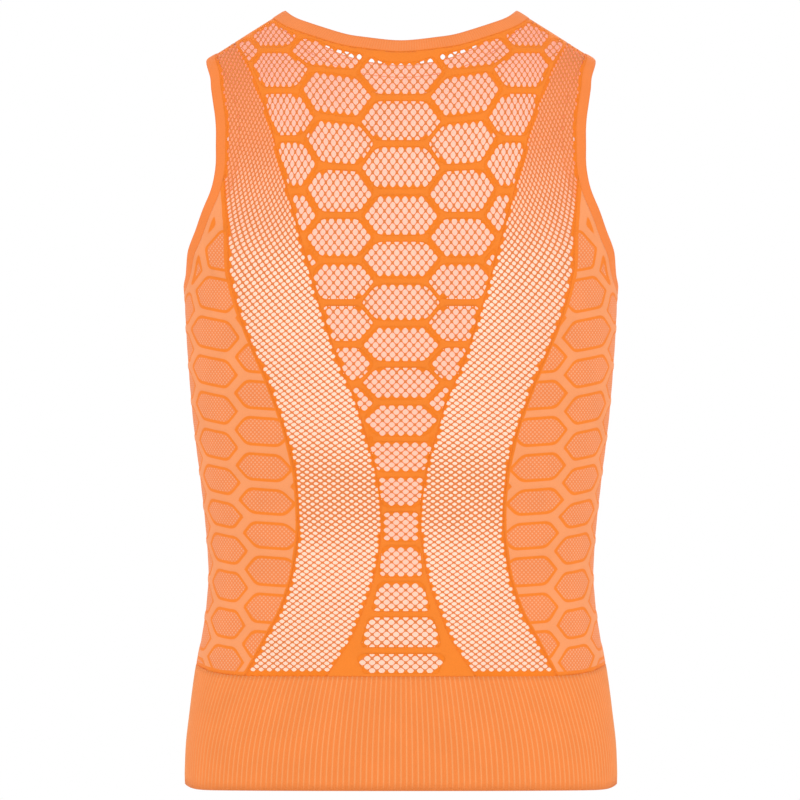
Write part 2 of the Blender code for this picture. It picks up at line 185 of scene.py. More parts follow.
CENTRE_SEAM = np.array([  # height, half width
    (98, 60), (125, 42.2), (142, 34.8), (175, 23), (200, 18.2), (225, 16), (259, 19.6), (292, 28),
    (325, 38), (359, 52.6), (409, 69), (459, 83), (513, 98), (558, 109.6), (601, 125.5), (623.8, 138.5),
])  # fmt: skip
SIDE_SEAM = np.array([
    (98, 128.5), (123, 115), (156, 98), (188, 89), (225, 85.2), (257, 87.4), (294, 95), (337, 110),
    (370, 123.6), (404, 136), (439, 144), (466, 144.5),
])  # fmt: skip
FRONT_SEAM = np.array([(98, 132), (180, 120), (280, 124), (380, 138), (440, 146)])

ARMHOLE_BACK = [(597, 159.6), (584, 158), (567, 155.5), (551, 154), (534, 154), (518, 154.5),
                (501, 158), (484, 165), (467, 171), (451, 177)]  # fmt: skip
ARMHOLE_FRONT = [(454, 176.5), (472, 167), (491, 156.5), (511, 148.5), (532, 145), (555, 144.5),
                 (577, 149), (595, 156)]  # fmt: skip
UNDERARM = [(437.5, -36), (427, -21), (422, 0), (427.5, 22), (439, 38)]  # height, forward
NECK_BACK = [(645.5, 90), (639.5, 75), (631.5, 50), (628, 31), (625, 0)]
NECK_FRONT = [(645.5, 92.5), (639.5, 86), (631.5, 77.5), (622.5, 65.5), (614.5, 48.5), (608.5, 27), (606, 0)]
SHOULDER_TIP = 609.0
SIDES = {"left": -1, "right": 1}
MIRROR = np.array([-1.0, 1.0, 1.0])
print("spine panel", CENTRE_SEAM[:, 1].min() * 2, "to", CENTRE_SEAM[:, 1].max() * 2, "mm wide")

# %% [markdown]
# Each opening is a closed loop. Its free edge is a smooth curve through the table's points, cut into
# even steps. The line where the binding meets the cloth is that edge moved across the form, a little
# at a time, by the width of the binding.

# %% The openings as loops


def on_side(height):
    wide, _, forward = ring_at(height)
    return joined_up(wide, forward, height)


def on_flank(forward, height):
    wide, deep, centre = ring_at(height)
    half_width = wide * (1 - np.abs(forward / deep) ** ROUNDNESS) ** (1 / ROUNDNESS)
    return joined_up(half_width, centre + forward, height)


def rounded(points, closed, steps=24):
    """A dense, smooth line through control points."""
    if closed:
        before, after = points[-1:], points[:2]
    else:
        before, after = 2 * points[:1] - points[1:2], 2 * points[-1:] - points[-2:-1]
    p = np.concatenate([before, points, after])
    u = np.linspace(0, 1, steps, endpoint=False)[:, None]
    line = []
    for a, b, c, d in zip(p[:-3], p[1:-2], p[2:-1], p[3:]):
        bend, twist = 2 * a - 5 * b + 4 * c - d, 3 * b - a - 3 * c + d
        line.append(b + (c - a) * u / 2 + bend * u**2 / 2 + twist * u**3 / 2)
    return np.concatenate(line + [points[:1] if closed else points[-1:]])


def cut_evenly(line, steps):
    """The line again as so many steps of one length."""
    length = run_length(line)
    at = np.linspace(0, length[-1], steps + 1)
    return joined_up(*[np.interp(at, length, line[:, axis]) for axis in range(3)])


def sideways(line, run, towards):
    """Steps of length 1 across a line on the form, to the side that towards points to."""
    across = np.cross(slope_at(line), run)
    across /= np.linalg.norm(across, axis=1)[:, None]
    return np.sign((towards * across).sum(axis=1))[:, None] * across


def set_in(loop, width, rounds=4):
    """A closed loop moved across the cloth, away from its opening, by a width."""
    inner, middle = loop.copy(), loop.mean(axis=0)
    for _ in range(rounds):
        run = np.roll(inner, -1, axis=0) - np.roll(inner, 1, axis=0)
        inner = settle(inner + sideways(inner, run, inner - middle) * width / rounds)
    return inner


def armhole_loops():
    """The right armhole's free edge and the line where its binding meets the cloth."""
    back = [on_face(BACK, x, height) for height, x in ARMHOLE_BACK]
    under = [on_flank(forward, height) for height, forward in UNDERARM]
    front = [on_face(FRONT, x, height) for height, x in ARMHOLE_FRONT]
    control = np.array([on_side(SHOULDER_TIP), *back, *under, *front])
    free = settle(cut_evenly(rounded(control, closed=True), ARMHOLE_STEPS)[:-1])
    inner = set_in(free, ARMHOLE_BAND_WIDTH)
    inner[0] = on_side(inner[0, 2])
    return free, inner


def side_to_side(face, rows, steps):
    """A line from the left shoulder point down to the centre and up to the right one."""
    half = np.array([on_side(BODY_LENGTH), *(on_face(face, x, height) for height, x in rows)])
    return cut_evenly(rounded(np.concatenate([half * MIRROR, half[-2::-1]]), closed=False), steps)


def neck_loops():
    """The neck's free edge and the line where its binding meets the cloth, from the left shoulder."""
    back = side_to_side(BACK, NECK_BACK, NECK_BACK_STEPS)
    front = side_to_side(FRONT, NECK_FRONT, NECK_FRONT_STEPS) * MIRROR
    free = settle(np.concatenate([back[:-1], front[:-1]]))
    inner = set_in(free, NECKBAND_WIDTH)
    for shoulder, side in ((0, MIRROR), (NECK_BACK_STEPS, 1.0)):
        inner[shoulder] = on_side(inner[shoulder, 2]) * side
    return free, inner


armhole_edge, armhole_seam = armhole_loops()
neck_edge, neck_seam = neck_loops()
low_points = (loop[:, 2].min().round(1) for loop in (armhole_edge, neck_edge))
print("the underarm and the front of the neck are this high:", *low_points)

# %% [markdown]
# Each zone has a seam on either side, the hem line below and the neck or the shoulder above. These
# small functions give each of them as a half width or a height, so that the same limits serve a
# zone's net, its ribs and its edging.

# %% The lines round each zone
BACK_WEDGE, FRONT_WEDGE = 510.0, 487.0  # where the side panel runs out against the armhole
RIDGE_FOOT, RIDGE_STEP = 605.0, 0.1


def nearest_height(line, height):
    """Which point of a line is nearest to a height."""
    return int(np.argmin(np.abs(line[:, 2] - height)))


half = ARMHOLE_STEPS // 2
back_run = armhole_seam[: half + 1][::-1]
front_run = np.concatenate([armhole_seam[half:], armhole_seam[:1]])
back_wedge = back_run[nearest_height(back_run, BACK_WEDGE)]
front_wedge = front_run[nearest_height(front_run, FRONT_WEDGE)]


def centre_seam(height):
    return along(CENTRE_SEAM, height)


def seam_then_armhole(seam, wedge, run):
    """The half width, at each height, of a seam up to its wedge and of the armhole above it."""
    below = np.array([*seam, (wedge[2], wedge[0])])
    above = run[run[:, 2] > wedge[2]]

    def half_width(height):
        over = np.interp(height, above[:, 2], above[:, 0])
        return np.where(height < wedge[2], along(below, height), over)

    return half_width


side_seam = seam_then_armhole(SIDE_SEAM, back_wedge, back_run)
front_seam = seam_then_armhole(FRONT_SEAM, front_wedge, front_run)
ridge_heights = np.arange(RIDGE_FOOT, BODY_LENGTH + 2 * RIDGE_STEP, RIDGE_STEP)[::-1]
ridge_widths = on_side(ridge_heights)[:, 0]


def shoulder_line(half_width):
    """The height of the shoulder's ridge at each half width."""
    return np.interp(half_width, ridge_widths, ridge_heights)


def hem_line(half_width):
    return HEM_BAND_AT_CENTRE + HEM_BAND_RISE * (half_width / RINGS[0, 1]) ** HEM_RISE_POWER


def neck_line(run):
    """The height of the neck seam at each half width, and of the shoulder's ridge beyond it."""
    run = run[np.argsort(run[:, 0])]
    run = run[run[:, 0] >= 0]

    def height(x):
        over_neck = np.interp(np.abs(x), run[:, 0], run[:, 2]) - SEAM_GAP
        return np.where(np.abs(x) < run[-1, 0], over_neck, shoulder_line(np.abs(x)) + OVER_RIDGE)

    return height


neck_back_line = neck_line(neck_seam[: NECK_BACK_STEPS + 1])
neck_front_line = neck_line(neck_seam[NECK_BACK_STEPS:])
print("neck seam at the centre back", neck_back_line(0).round(1), "and front", neck_front_line(0).round(1))

# %% [markdown]
# With those lines we can ask two things of any point: where it ends up when it is moved into a zone,
# and how far it is past a seam, measured straight across it.

# %% Staying in a zone


def zone(left, right, top, lowest):
    """A function that moves points into a zone, a small gap inside its seams and its hem line.

    The seams are read no lower than lowest.
    """

    def keep_in(x, height):
        height = np.maximum(height, lowest)
        x = np.clip(x, left(height) + SEAM_GAP, right(height) - SEAM_GAP)
        return x, np.clip(height, hem_line(x) + SEAM_GAP, top(x))

    return keep_in


def past(seam, x, height):
    """How far a point is past a seam."""
    lean = (seam(height + 1) - seam(height - 1)) / 2
    return (x - seam(height)) / np.hypot(1, lean)


low = HEM_BAND_AT_CENTRE + SEAM_GAP
keep_in_centre = zone(lambda height: -centre_seam(height), centre_seam, neck_back_line, low)
keep_in_band = zone(centre_seam, side_seam, lambda x: shoulder_line(x) + OVER_RIDGE, low)
keep_in_front = zone(lambda height: -front_seam(height), front_seam, neck_front_line, 0.0)
print("a band is", past(centre_seam, side_seam(300.0), 300.0).round(1), "mm wide between the seams at 300 mm")

# %% [markdown]
# A worn knit is nearly smooth, yet it never lies perfectly flat. It pulls from the underarm towards
# the waist, buckles softly where the waist is narrow, and waves a little above the hem. Each crease is
# a short line on the form with its own depth and width, and no two are alike. A negative depth is a
# trough. Cloth simulation would move the zones off their seams, so each crease is listed one by one.

# %% Creases
CREASES = [  # face, (x, height) of each end, depth, width
    (BACK, (-150, 418), (-96, 352), 1.1, 13), (BACK, (-158, 388), (-112, 330), -0.9, 10),
    (BACK, (152, 424), (104, 368), 0.9, 12), (BACK, (160, 396), (120, 322), -1.0, 12),
    (BACK, (-92, 262), (-40, 246), -1.3, 9), (BACK, (-88, 236), (-48, 214), 1.0, 8),
    (BACK, (-84, 208), (-36, 196), -0.7, 7), (BACK, (94, 252), (58, 240), -0.8, 9),
    (BACK, (90, 222), (44, 208), 0.7, 10), (BACK, (-28, 300), (30, 288), 0.6, 11),
    (BACK, (-152, 268), (-118, 250), -1.2, 9), (BACK, (-150, 232), (-116, 222), 1.0, 9),
    (BACK, (153, 276), (124, 262), -1.0, 8), (BACK, (152, 244), (120, 228), 1.1, 10),
    (BACK, (-70, 574), (-112, 520), 0.8, 14), (BACK, (74, 566), (118, 500), 0.7, 16),
    (BACK, (-60, 108), (-110, 64), 0.8, 14), (BACK, (54, 104), (92, 40), 0.6, 12),
    (BACK, (128, 92), (150, 30), -0.8, 12), (BACK, (-136, 88), (-160, 18), -0.7, 10),
    (FRONT, (-150, 412), (-84, 350), 1.2, 14), (FRONT, (154, 404), (96, 330), 1.0, 12),
    (FRONT, (-146, 374), (-108, 300), -1.0, 11), (FRONT, (150, 360), (112, 296), -1.1, 12),
    (FRONT, (-120, 250), (-30, 236), -1.3, 10), (FRONT, (126, 262), (40, 248), -1.0, 12),
    (FRONT, (-104, 218), (-22, 206), 0.9, 9), (FRONT, (110, 212), (18, 196), 1.0, 11),
    (FRONT, (-46, 502), (-100, 452), 0.8, 16), (FRONT, (52, 494), (110, 430), 0.9, 14),
    (FRONT, (-66, 112), (-96, 46), 0.8, 13), (FRONT, (70, 106), (112, 30), 0.7, 12),
]  # fmt: skip
LEFT_AT_ENDS = 0.35  # the share of its depth that a crease still has at its ends


def crease_height(points):
    """How far the creases lift each point, in millimetres."""
    lift = np.zeros(points.shape[:-1])
    for face, start, end, depth, width in CREASES:
        a, b = on_face(face, *start), on_face(face, *end)
        share = np.clip(((points - a) @ (b - a)) / ((b - a) @ (b - a)), 0, 1)
        away = np.linalg.norm(points - a - share[..., None] * (b - a), axis=-1)
        swell = LEFT_AT_ENDS + (1 - LEFT_AT_ENDS) * np.sin(np.pi * share)
        lift += depth * swell * np.exp(-((away / width) ** 2))
    return lift


def placed(points):
    """Points of the form, in millimetres, as points of the frame, in metres, with the creases in them."""
    points = points + outward(points) * crease_height(points)[..., None]
    return (points - [0, 0, BODY_LENGTH]) * MM


depths = [crease[3] for crease in CREASES]
print(len(CREASES), "creases, from", min(depths), "to", max(depths), "mm")

# %% [markdown]
# Blender keeps a mesh as lists of points, corners and faces, and numbers can be stored on each point
# or face. We store what the nodes need later: how far a point is inside a rib, which stitch it
# belongs to, how open a hole is.

# %% Making a mesh from arrays


def build_mesh(name, points, faces, on_points=(), on_faces=()):
    """A mesh whose faces all have the same number of corners, turned to face outward."""
    points, normal = points.reshape(-1, 3), np.zeros(3)
    corner = points[faces]
    for k in range(1, faces.shape[1] - 1):
        normal = normal + np.cross(corner[:, k] - corner[:, 0], corner[:, k + 1] - corner[:, 0])
    centre = corner.mean(axis=1) / MM + [0, 0, BODY_LENGTH]
    if (normal * slope_at(centre)).sum() < 0:
        faces = faces[:, ::-1]
    mesh = bpy.data.meshes.new(name)
    mesh.vertices.add(len(points))
    mesh.vertices.foreach_set("co", points.astype(np.float32).ravel())
    mesh.loops.add(faces.size)
    mesh.loops.foreach_set("vertex_index", faces.astype(np.int32).ravel())
    mesh.polygons.add(len(faces))
    mesh.polygons.foreach_set("loop_start", np.arange(len(faces), dtype=np.int32) * faces.shape[1])
    mesh.update(calc_edges=True)
    for values, domain, count in ((on_points, "POINT", len(points)), (on_faces, "FACE", len(faces))):
        for key, numbers in dict(values).items():
            kind, field = ("FLOAT", "value") if numbers.size == count else ("FLOAT_VECTOR", "vector")
            layer = mesh.attributes.new(key, kind, domain)
            layer.data.foreach_set(field, numbers.astype(np.float32).ravel())
    piece = bpy.data.objects.new(name, mesh)
    bpy.context.scene.collection.objects.link(piece)
    return piece


def triangle_count(piece):
    return sum(len(face.vertices) - 2 for face in piece.data.polygons)


def grid_faces(rows, columns, closed=False):
    """The quads of a grid of points, row after row."""
    r, c = np.meshgrid(np.arange(rows - 1), np.arange(columns if closed else columns - 1), indexing="ij")
    d = (c + 1) % columns
    corners = [r * columns + c, r * columns + d, (r + 1) * columns + d, (r + 1) * columns + c]
    return np.stack(corners, axis=-1).reshape(-1, 4)


def knit_place(x, height):
    """Where a point is in the flat knit, in millimetres, for the stitches in its material."""
    return joined_up(x, height, 0.0)


print("a closed strip of 2 by 4 points has", len(grid_faces(2, 4, closed=True)), "faces")

# %% [markdown]
# Materials and Geometry Nodes are both graphs of nodes. A small class wraps a socket so that sums
# can be written as sums: each + or * adds a Math node. One method adds any other node from its type,
# its settings and its inputs.

# %% A short way to write node graphs


class Value:
    """A node's output that can be used in arithmetic."""

    def __init__(self, graph, socket):
        self.graph, self.socket = graph, socket

    def __add__(self, other):
        return self.graph.math("ADD", self, other)

    def __sub__(self, other):
        return self.graph.math("SUBTRACT", self, other)

    def __rsub__(self, other):
        return self.graph.math("SUBTRACT", other, self)

    def __mul__(self, other):
        return self.graph.math("MULTIPLY", self, other)

    __radd__, __rmul__ = __add__, __mul__


class Graph:
    """Adds nodes to a tree. Inputs are numbers, colours or Values, by name or by place."""

    def __init__(self, tree):
        self.tree = tree

    def node(self, kind, inputs=(), **settings):
        made = self.tree.nodes.new(kind)
        for key, value in settings.items():
            setattr(made, key, value)
        pairs = inputs.items() if isinstance(inputs, dict) else enumerate(inputs)
        for key, value in pairs:
            for one in value if isinstance(value, list) else [value]:
                if isinstance(one, Value):
                    self.tree.links.new(one.socket, made.inputs[key])
                else:
                    made.inputs[key].default_value = one
        return made

    def add(self, kind, inputs=(), output=0, **settings):
        return Value(self, self.node(kind, inputs, **settings).outputs[output])

    def math(self, operation, *values):
        return self.add("ShaderNodeMath", values, operation=operation)

    def wave(self, value, period):
        """A smooth wave between 0 and 1 that is 1 wherever value is a multiple of period."""
        return self.math("COSINE", value * (2 * math.pi / period)) * 0.5 + 0.5

    def between(self, value, low, high):
        """0 below low, 1 above high and smooth between; low may be the larger."""
        if low > high:
            return 1.0 - self.between(value, high, low)
        inputs = {"Value": value, "From Min": low, "From Max": high}
        return self.add("ShaderNodeMapRange", inputs, interpolation_type="SMOOTHSTEP")

    def mix(self, share, first, second):
        """A colour that goes from first to second."""
        inputs = {0: share, 6: first, 7: second}
        return self.add("ShaderNodeMix", inputs, output=2, data_type="RGBA")


print("what a graph can do:", *(name for name in vars(Graph) if not name.startswith("_")))

# %% [markdown]
# Every piece of cloth has a front, a back and an edge. This part of a node tree gives an open
# surface its wall: it pushes a copy outward, turns the original over to be the lining side, joins
# the two and merges the points where they meet. Either side can stand proud by its own amount, which
# is how strands and ribs get a round section.

# %% Giving cloth its wall
MERGED_WITHIN = 2e-6


def start_tree(name, sizes):
    """A Geometry Nodes tree with a geometry, a material and named sizes as its inputs."""
    tree = bpy.data.node_groups.new(name, "GeometryNodeTree")
    tree.interface.new_socket("Geometry", in_out="OUTPUT", socket_type="NodeSocketGeometry")
    kinds = {"Geometry": "Geometry", "Material": "Material", **dict.fromkeys(sizes, "Float")}
    for size, kind in kinds.items():
        tree.interface.new_socket(size, in_out="INPUT", socket_type=f"NodeSocket{kind}")
    graph = Graph(tree)
    given = tree.nodes.new("NodeGroupInput")
    return graph, {socket.name: Value(graph, socket) for socket in given.outputs if socket.name}


def stored(graph, name, kind="FLOAT"):
    return graph.add("GeometryNodeInputNamedAttribute", {"Name": name}, data_type=kind)


def store(graph, geometry, name, value, kind="FLOAT", domain="POINT"):
    """Keeps a value on the geometry for a later node or a material."""
    inputs = {"Geometry": geometry, "Name": name, "Value": value}
    return graph.add("GeometryNodeStoreNamedAttribute", inputs, data_type=kind, domain=domain)


def extrude(graph, geometry, **inputs):
    """Extrudes faces: the new geometry, and which faces are its tops."""
    inputs = {key.replace("_", " "): value for key, value in inputs.items()}
    node = graph.node("GeometryNodeExtrudeMesh", {"Mesh": geometry, **inputs}, mode="FACES")
    return Value(graph, node.outputs["Mesh"]), Value(graph, node.outputs["Top"])


def push(graph, geometry, distance, chosen=True):
    """Moves points straight out of the cloth by a distance."""
    normal = graph.add("GeometryNodeInputNormal")
    offset = graph.add("ShaderNodeVectorMath", {0: normal, 3: distance}, operation="SCALE")
    inputs = {"Geometry": geometry, "Selection": chosen, "Offset": offset}
    return graph.add("GeometryNodeSetPosition", inputs)


def finish_tree(graph, given, geometry, proud, inner_proud=0.0):
    """Thickens the surface, smooths and colours it, and ends the tree."""
    lining = push(graph, geometry, given["Wall"] * -0.5)
    walls, top = extrude(graph, lining, Offset_Scale=given["Wall"], Individual=False)
    outer = push(graph, walls, proud, top)
    lining = push(graph, lining, inner_proud * -1.0)
    lining = graph.add("GeometryNodeFlipFaces", {"Mesh": lining})
    lining = store(graph, lining, "lining", 1.0)
    both = graph.add("GeometryNodeJoinGeometry", {"Geometry": [outer, lining]})
    whole = graph.add("GeometryNodeMergeByDistance", {"Geometry": both, "Distance": MERGED_WITHIN})
    whole = graph.add("GeometryNodeRealizeInstances", {"Geometry": whole})
    whole = graph.add("GeometryNodeSetShadeSmooth", {"Geometry": whole})
    whole = graph.add("GeometryNodeSetMaterial", {"Geometry": whole, "Material": given["Material"]})
    graph.node("NodeGroupOutput", {"Geometry": whole})
    return graph.tree


def cloth_area(piece):
    """The area of one side of a piece, in square metres, without its holes."""
    return sum(face.area for face in piece.data.polygons) / 2


def run_tree(piece, tree, **sizes):
    """Gives the piece the tree with these sizes and keeps the plain mesh that comes out."""
    modifier = piece.modifiers.new(tree.name, "NODES")
    modifier.node_group = tree
    wanted = {key.replace("_", " "): value for key, value in sizes.items()}
    for item in tree.interface.items_tree:
        if item.in_out == "INPUT" and item.name.lower() in wanted:
            modifier[item.identifier] = wanted[item.name.lower()]
    evaluated = piece.evaluated_get(bpy.context.evaluated_depsgraph_get())
    mesh = bpy.data.meshes.new_from_object(evaluated)
    piece.modifiers.remove(modifier)
    piece.data = mesh
    mesh.name = piece.name
    print(f"{piece.name}: {triangle_count(piece)} triangles, {cloth_area(piece):.4f} m2 of cloth")
    return piece

# %% [markdown]
# Open net is knitted by passing stitches sideways, so strands cross at an angle and leave a round
# hole in each diamond. The tree gets the diamonds as faces. It insets each face, pulls the inner
# edge into a rounder hole, drops the middle, and gives the strands their wall. A number on each face
# says how open its hole is, so holes can shrink beside a rib and close inside it. With Open at 0 the
# middles stay, sunk between the strands, and the net becomes a closed piqué.

# %% The tree that punches a net
NO_HOLE = 0.01  # a hole smaller than this share of its diamond is left closed


def punched_net():
    graph, given = start_tree("punched net", ["Wall", "Crown", "Edge reach", "Corner reach", "Open"])
    position = graph.add("GeometryNodeInputPosition")
    cells = store(graph, given["Geometry"], "centre", position, "FLOAT_VECTOR", "FACE")
    hole = stored(graph, "hole")
    inset, top = extrude(graph, cells, Selection=hole - NO_HOLE, Offset_Scale=0.0, Individual=True)

    centre = stored(graph, "centre", "FLOAT_VECTOR")
    spoke = graph.add("ShaderNodeVectorMath", [position, centre], operation="SUBTRACT")
    further = (given["Corner reach"] - given["Edge reach"]) * stored(graph, "corner")
    reach = (given["Edge reach"] + further) * hole
    shorter = graph.add("ShaderNodeVectorMath", {0: spoke, 3: reach}, operation="SCALE")
    rim = graph.add("ShaderNodeVectorMath", [centre, shorter], operation="ADD")
    inputs = {"Geometry": inset, "Selection": top, "Position": rim}
    moved = store(graph, graph.add("GeometryNodeSetPosition", inputs), "rim", top)
    inputs = {"Geometry": moved, "Selection": given["Open"] * top}
    net = graph.add("GeometryNodeDeleteGeometry", inputs, domain="FACE")
    crown = given["Crown"] * (1.0 - stored(graph, "rim"))
    return finish_tree(graph, given, net, crown, crown)


NET_TREE = punched_net()
print("the tree that punches a net has", len(NET_TREE.nodes), "nodes")

# %% [markdown]
# The holes sit on a staggered lattice: rows of stitches, with every second row moved half a step.
# The knit is stretched over the body, so the step and the row height change with height. A short
# table gives both. Summing one over the row height turns a height into a row number, and back.

# %% The lattice of a net
LOWEST, HIGHEST, ROW_STEP = 80.0, 660.0, 0.5


class Rows:
    """Row numbers as a function of height, from the row height at a few places."""

    def __init__(self, net):
        self.height = np.arange(LOWEST, HIGHEST, ROW_STEP)
        step = along(net, self.height, 2)
        self.number = np.concatenate([[0], np.cumsum(ROW_STEP / step)])[:-1]

    def range(self, low, high):
        """The row numbers from below one height to above another."""
        first, last = (int(np.interp(height, self.height, self.number)) for height in (low, high))
        return first - 2, last + 3

    def height_of(self, number):
        return np.interp(number, self.number, self.height)


def diamonds(columns, rows, sides):
    """Corner coordinates of the diamonds round each (column, row) whose sum is even.

    sides is how many steps each of the four edges is cut into. Returns the distinct corners, the
    faces, the middles, and 1 for each corner where strands cross.
    """
    c, r = np.meshgrid(np.arange(*columns), np.arange(*rows))
    even = (c + r) % 2 == 0
    middles = np.stack([c[even], r[even]], axis=-1).astype(float)
    ends = np.array([(1, 0), (0, 1), (-1, 0), (0, -1), (1, 0)], float)
    share = np.arange(sides)[:, None] / sides
    path = np.concatenate([a + (b - a) * share for a, b in zip(ends[:-1], ends[1:])])
    corners = middles[:, None] + path
    whole = np.round(corners.reshape(-1, 2) * sides).astype(int)
    distinct, index = np.unique(whole, axis=0, return_inverse=True)
    crossing = (distinct % sides == 0).all(axis=1)
    return distinct / sides, index.reshape(len(middles), -1), middles, crossing.astype(float)


print("a lattice of 3 by 3 places has", len(diamonds((0, 3), (0, 3), 1)[1]), "diamonds")

# %% [markdown]
# A net is a lattice laid on its zone. Diamonds that cross a seam are cut back to it, and those that a
# seam leaves hardly anything of are dropped. Each point also stores how much painted bounce light its
# lining side gets: rosy behind the honeycomb, cream beside it and warmer at the shoulders.

# %% Laying a net on the form
WARM_FROM, WARM_RUN = 440.0, 100.0  # the painted bounce light on the lining turns warmer over these heights
ROSY = np.array([(130, 0.35), (210, 1.0)])  # height, how rosy the painted bounce light is behind the spine
ROSY_EDGE = 4.0  # its colour changes over this width
LEAST_SHARE = 0.005  # a diamond that a seam leaves less of than this is dropped
NOT_NEEDED, CLOSED = -1.0, 0.0  # instead of a hole's size


def read_table(table, value):
    return np.interp(value, table[:, 0], table[:, 1])


def flat_area(x, height):
    """The area of each polygon from the coordinates of its corners."""
    turned = x * np.roll(height, -1, axis=1) - height * np.roll(x, -1, axis=1)
    return np.abs(turned.sum(axis=1)) / 2


def lay_net(name, face, columns, rows, sides, place, keep_in, openness, apart, sign=1):
    """The diamonds of one net on the form, with each hole's openness stored on its face.

    sign -1 makes the left one of a mirrored pair.
    """
    corners, faces, middles, crossing = diamonds(columns, rows, sides)
    hole = openness(*place(middles[:, 0], middles[:, 1]))
    whole_x, whole_height = place(corners[:, 0], corners[:, 1])
    x, height = keep_in(whole_x, whole_height)
    left = flat_area(x[faces], height[faces])
    kept = left > LEAST_SHARE * flat_area(whole_x[faces], whole_height[faces])
    kept &= hole > NOT_NEEDED
    faces = faces[kept]
    used, index = np.unique(faces, return_inverse=True)
    x, height = x[used], height[used]
    # Masks for the painted bounce light on the lining side: rosy behind the spine, warmer high up.
    behind_spine = np.clip((centre_seam(height) - np.abs(x)) / ROSY_EDGE + 0.5, 0, 1)
    values = {
        "corner": crossing[used],
        "apart": apart(x, height),
        "rosy": behind_spine * read_table(ROSY, height),
        "warm": np.clip((height - WARM_FROM) / WARM_RUN, 0, 1),
        "knit": knit_place(sign * x, height),
    }
    points = placed(on_face(face, sign * x, height))
    return build_mesh(name, points, index.reshape(faces.shape), values, {"hole": hole[kept]})


print("how rosy it is at the hem and at the waist:", read_table(ROSY, [100.0, 250.0]))

# %% [markdown]
# The honeycomb down the spine is the garment's main feature. Columns of six-sided cells stand side by
# side, every second one half a cell lower, and the seams cut the outer ones off. Below the ribs of
# the chest only one column is left, like the rungs of a ladder. A signed distance describes all of
# it: negative inside a cell, positive inside a rib. Ribs, net and colour all read that number.

# %% A honeycomb as a distance


def smooth_max(a, b, blend):
    """The larger of two distances, with the corner between them rounded off."""
    near = np.maximum(blend - np.abs(a - b), 0) / blend
    return np.maximum(a, b) + near**2 * blend / 4


class RibRows:
    """Which row of cells a height is in: a whole number is the middle of a cell in the first column."""

    def __init__(self, ribs):
        self.height = np.arange(LOWEST, HIGHEST)
        self.number = along(joined_up(ribs, np.arange(len(ribs)) + 0.5)[::-1], self.height)

    def at(self, height):
        """The row number and how far apart the ribs are there."""
        row, above, below = (np.interp(height + step, self.height, self.number) for step in (0, 1, -1))
        return row, 2 / (below - above)


def honeycomb(across, row, pitch, columns, level_rib, slant_rib, blend):
    """How far a point is outside its nearest cell.

    columns holds the start and end of each column's flat edges. A cell's points reach to where the
    flat edges of its neighbours begin. The first and last column only bound the ones between, and
    every second column is half a row on.
    """
    nearest, half = np.full(np.shape(across), np.inf), pitch / 2
    for number in range(1, len(columns) - 1):
        (_, left), (start, end), (right, _) = columns[number - 1 : number + 2]
        row_here = row - 0.5 * ((number + 1) % 2)
        up = np.abs(row_here - np.round(row_here)) * pitch
        slant_left = ((left - across) * half + up * (start - left)) / np.hypot(half, start - left)
        slant_right = ((across - right) * half + up * (right - end)) / np.hypot(half, right - end)
        slant = np.maximum(slant_left, slant_right) + slant_rib
        nearest = np.minimum(nearest, smooth_max(up - half + level_rib, slant, blend))
    return nearest


print("a point on the flat rib between two cells:", honeycomb(0.0, 0.5, 30.0, [(-9, -5), (-3, 3), (5, 9)],
      2.0, 2.0, 1.0).round(1), "mm outside them")  # fmt: skip

# %% [markdown]
# On the back the cells are widest near the shoulders, where they also fan out and their rows curve
# up. The ribs are a little thicker at the chest than at the waist, and a border of solid knit runs
# along the seams. It is widest at the hem, where it fills the panel's two corners.

# %% The centre back's honeycomb
CENTRE_RIBS = np.array([648, 616.5, 577.3, 538.7, 498.5, 460, 424.2, 389, 355, 323.5, 293, 263.5, 234.3,
                        205.8, 176, 147, 116.8, 88])  # fmt: skip
CENTRE_COLUMNS = [(-67, -34.5), (-20.4, 20.4), (34.5, 67), (81.1, 112), (125.5, 156), (170, 200)]
LADDER_TOP = 291.0
LEVEL_RIB = np.array([(115, 3.2), (150, 2.9), (300, 2.9), (420, 3.3)])  # height, half the rib's width
SLANT_RIB = 2.05
ROW_RISE = np.array([(470, 0), (500, 1.2), (540, 3.8), (560, 4.2), (577, 6.3), (597, 5.5), (616, 1.0),
                     (640, -3.0)])  # fmt: skip
RISE_START, RISE_RUN = 30.0, 55.0  # the rows rise over this stretch of the half width
SEAM_BORDER = np.array([(98, 24), (103, 20.5), (109, 13.3), (123, 9.4), (135, 7.9), (160, 6.2), (190, 3),
                        (220, 1.6), (250, 1.2), (290, 1.2), (400, 1.5), (620, 2.1)])  # fmt: skip
NECK_BORDER = np.array([(17, 8.8), (26, 4.6), (55, 4.2), (70, 3.0)])  # half width, border
NECK_SLOPE = 0.95  # the neck seam's slope makes a height this much less across it
COLUMN_FAN = np.array([(530, 0), (560, 0.045), (584, 0.09), (600, 0.13), (620, 0.25), (645, 0.3)])
FAN_REACH = 126.0  # the columns spread towards the shoulders, and not at all this far out
FOOT_BORDER = 3.5
CORNER_BLEND, EDGE_BLEND = 5.0, 3.0


def eased(share):
    """0 up to a share of 0, 1 from a share of 1, and a smooth step between."""
    share = np.clip(share, 0, 1)
    return share**2 * (3 - 2 * share)


def rows_rise(x, height):
    """How much higher the rows are away from the spine, near the shoulders."""
    return read_table(ROW_RISE, height) * eased((np.abs(x) - RISE_START) / RISE_RUN)


centre_rib_rows = RibRows(CENTRE_RIBS)


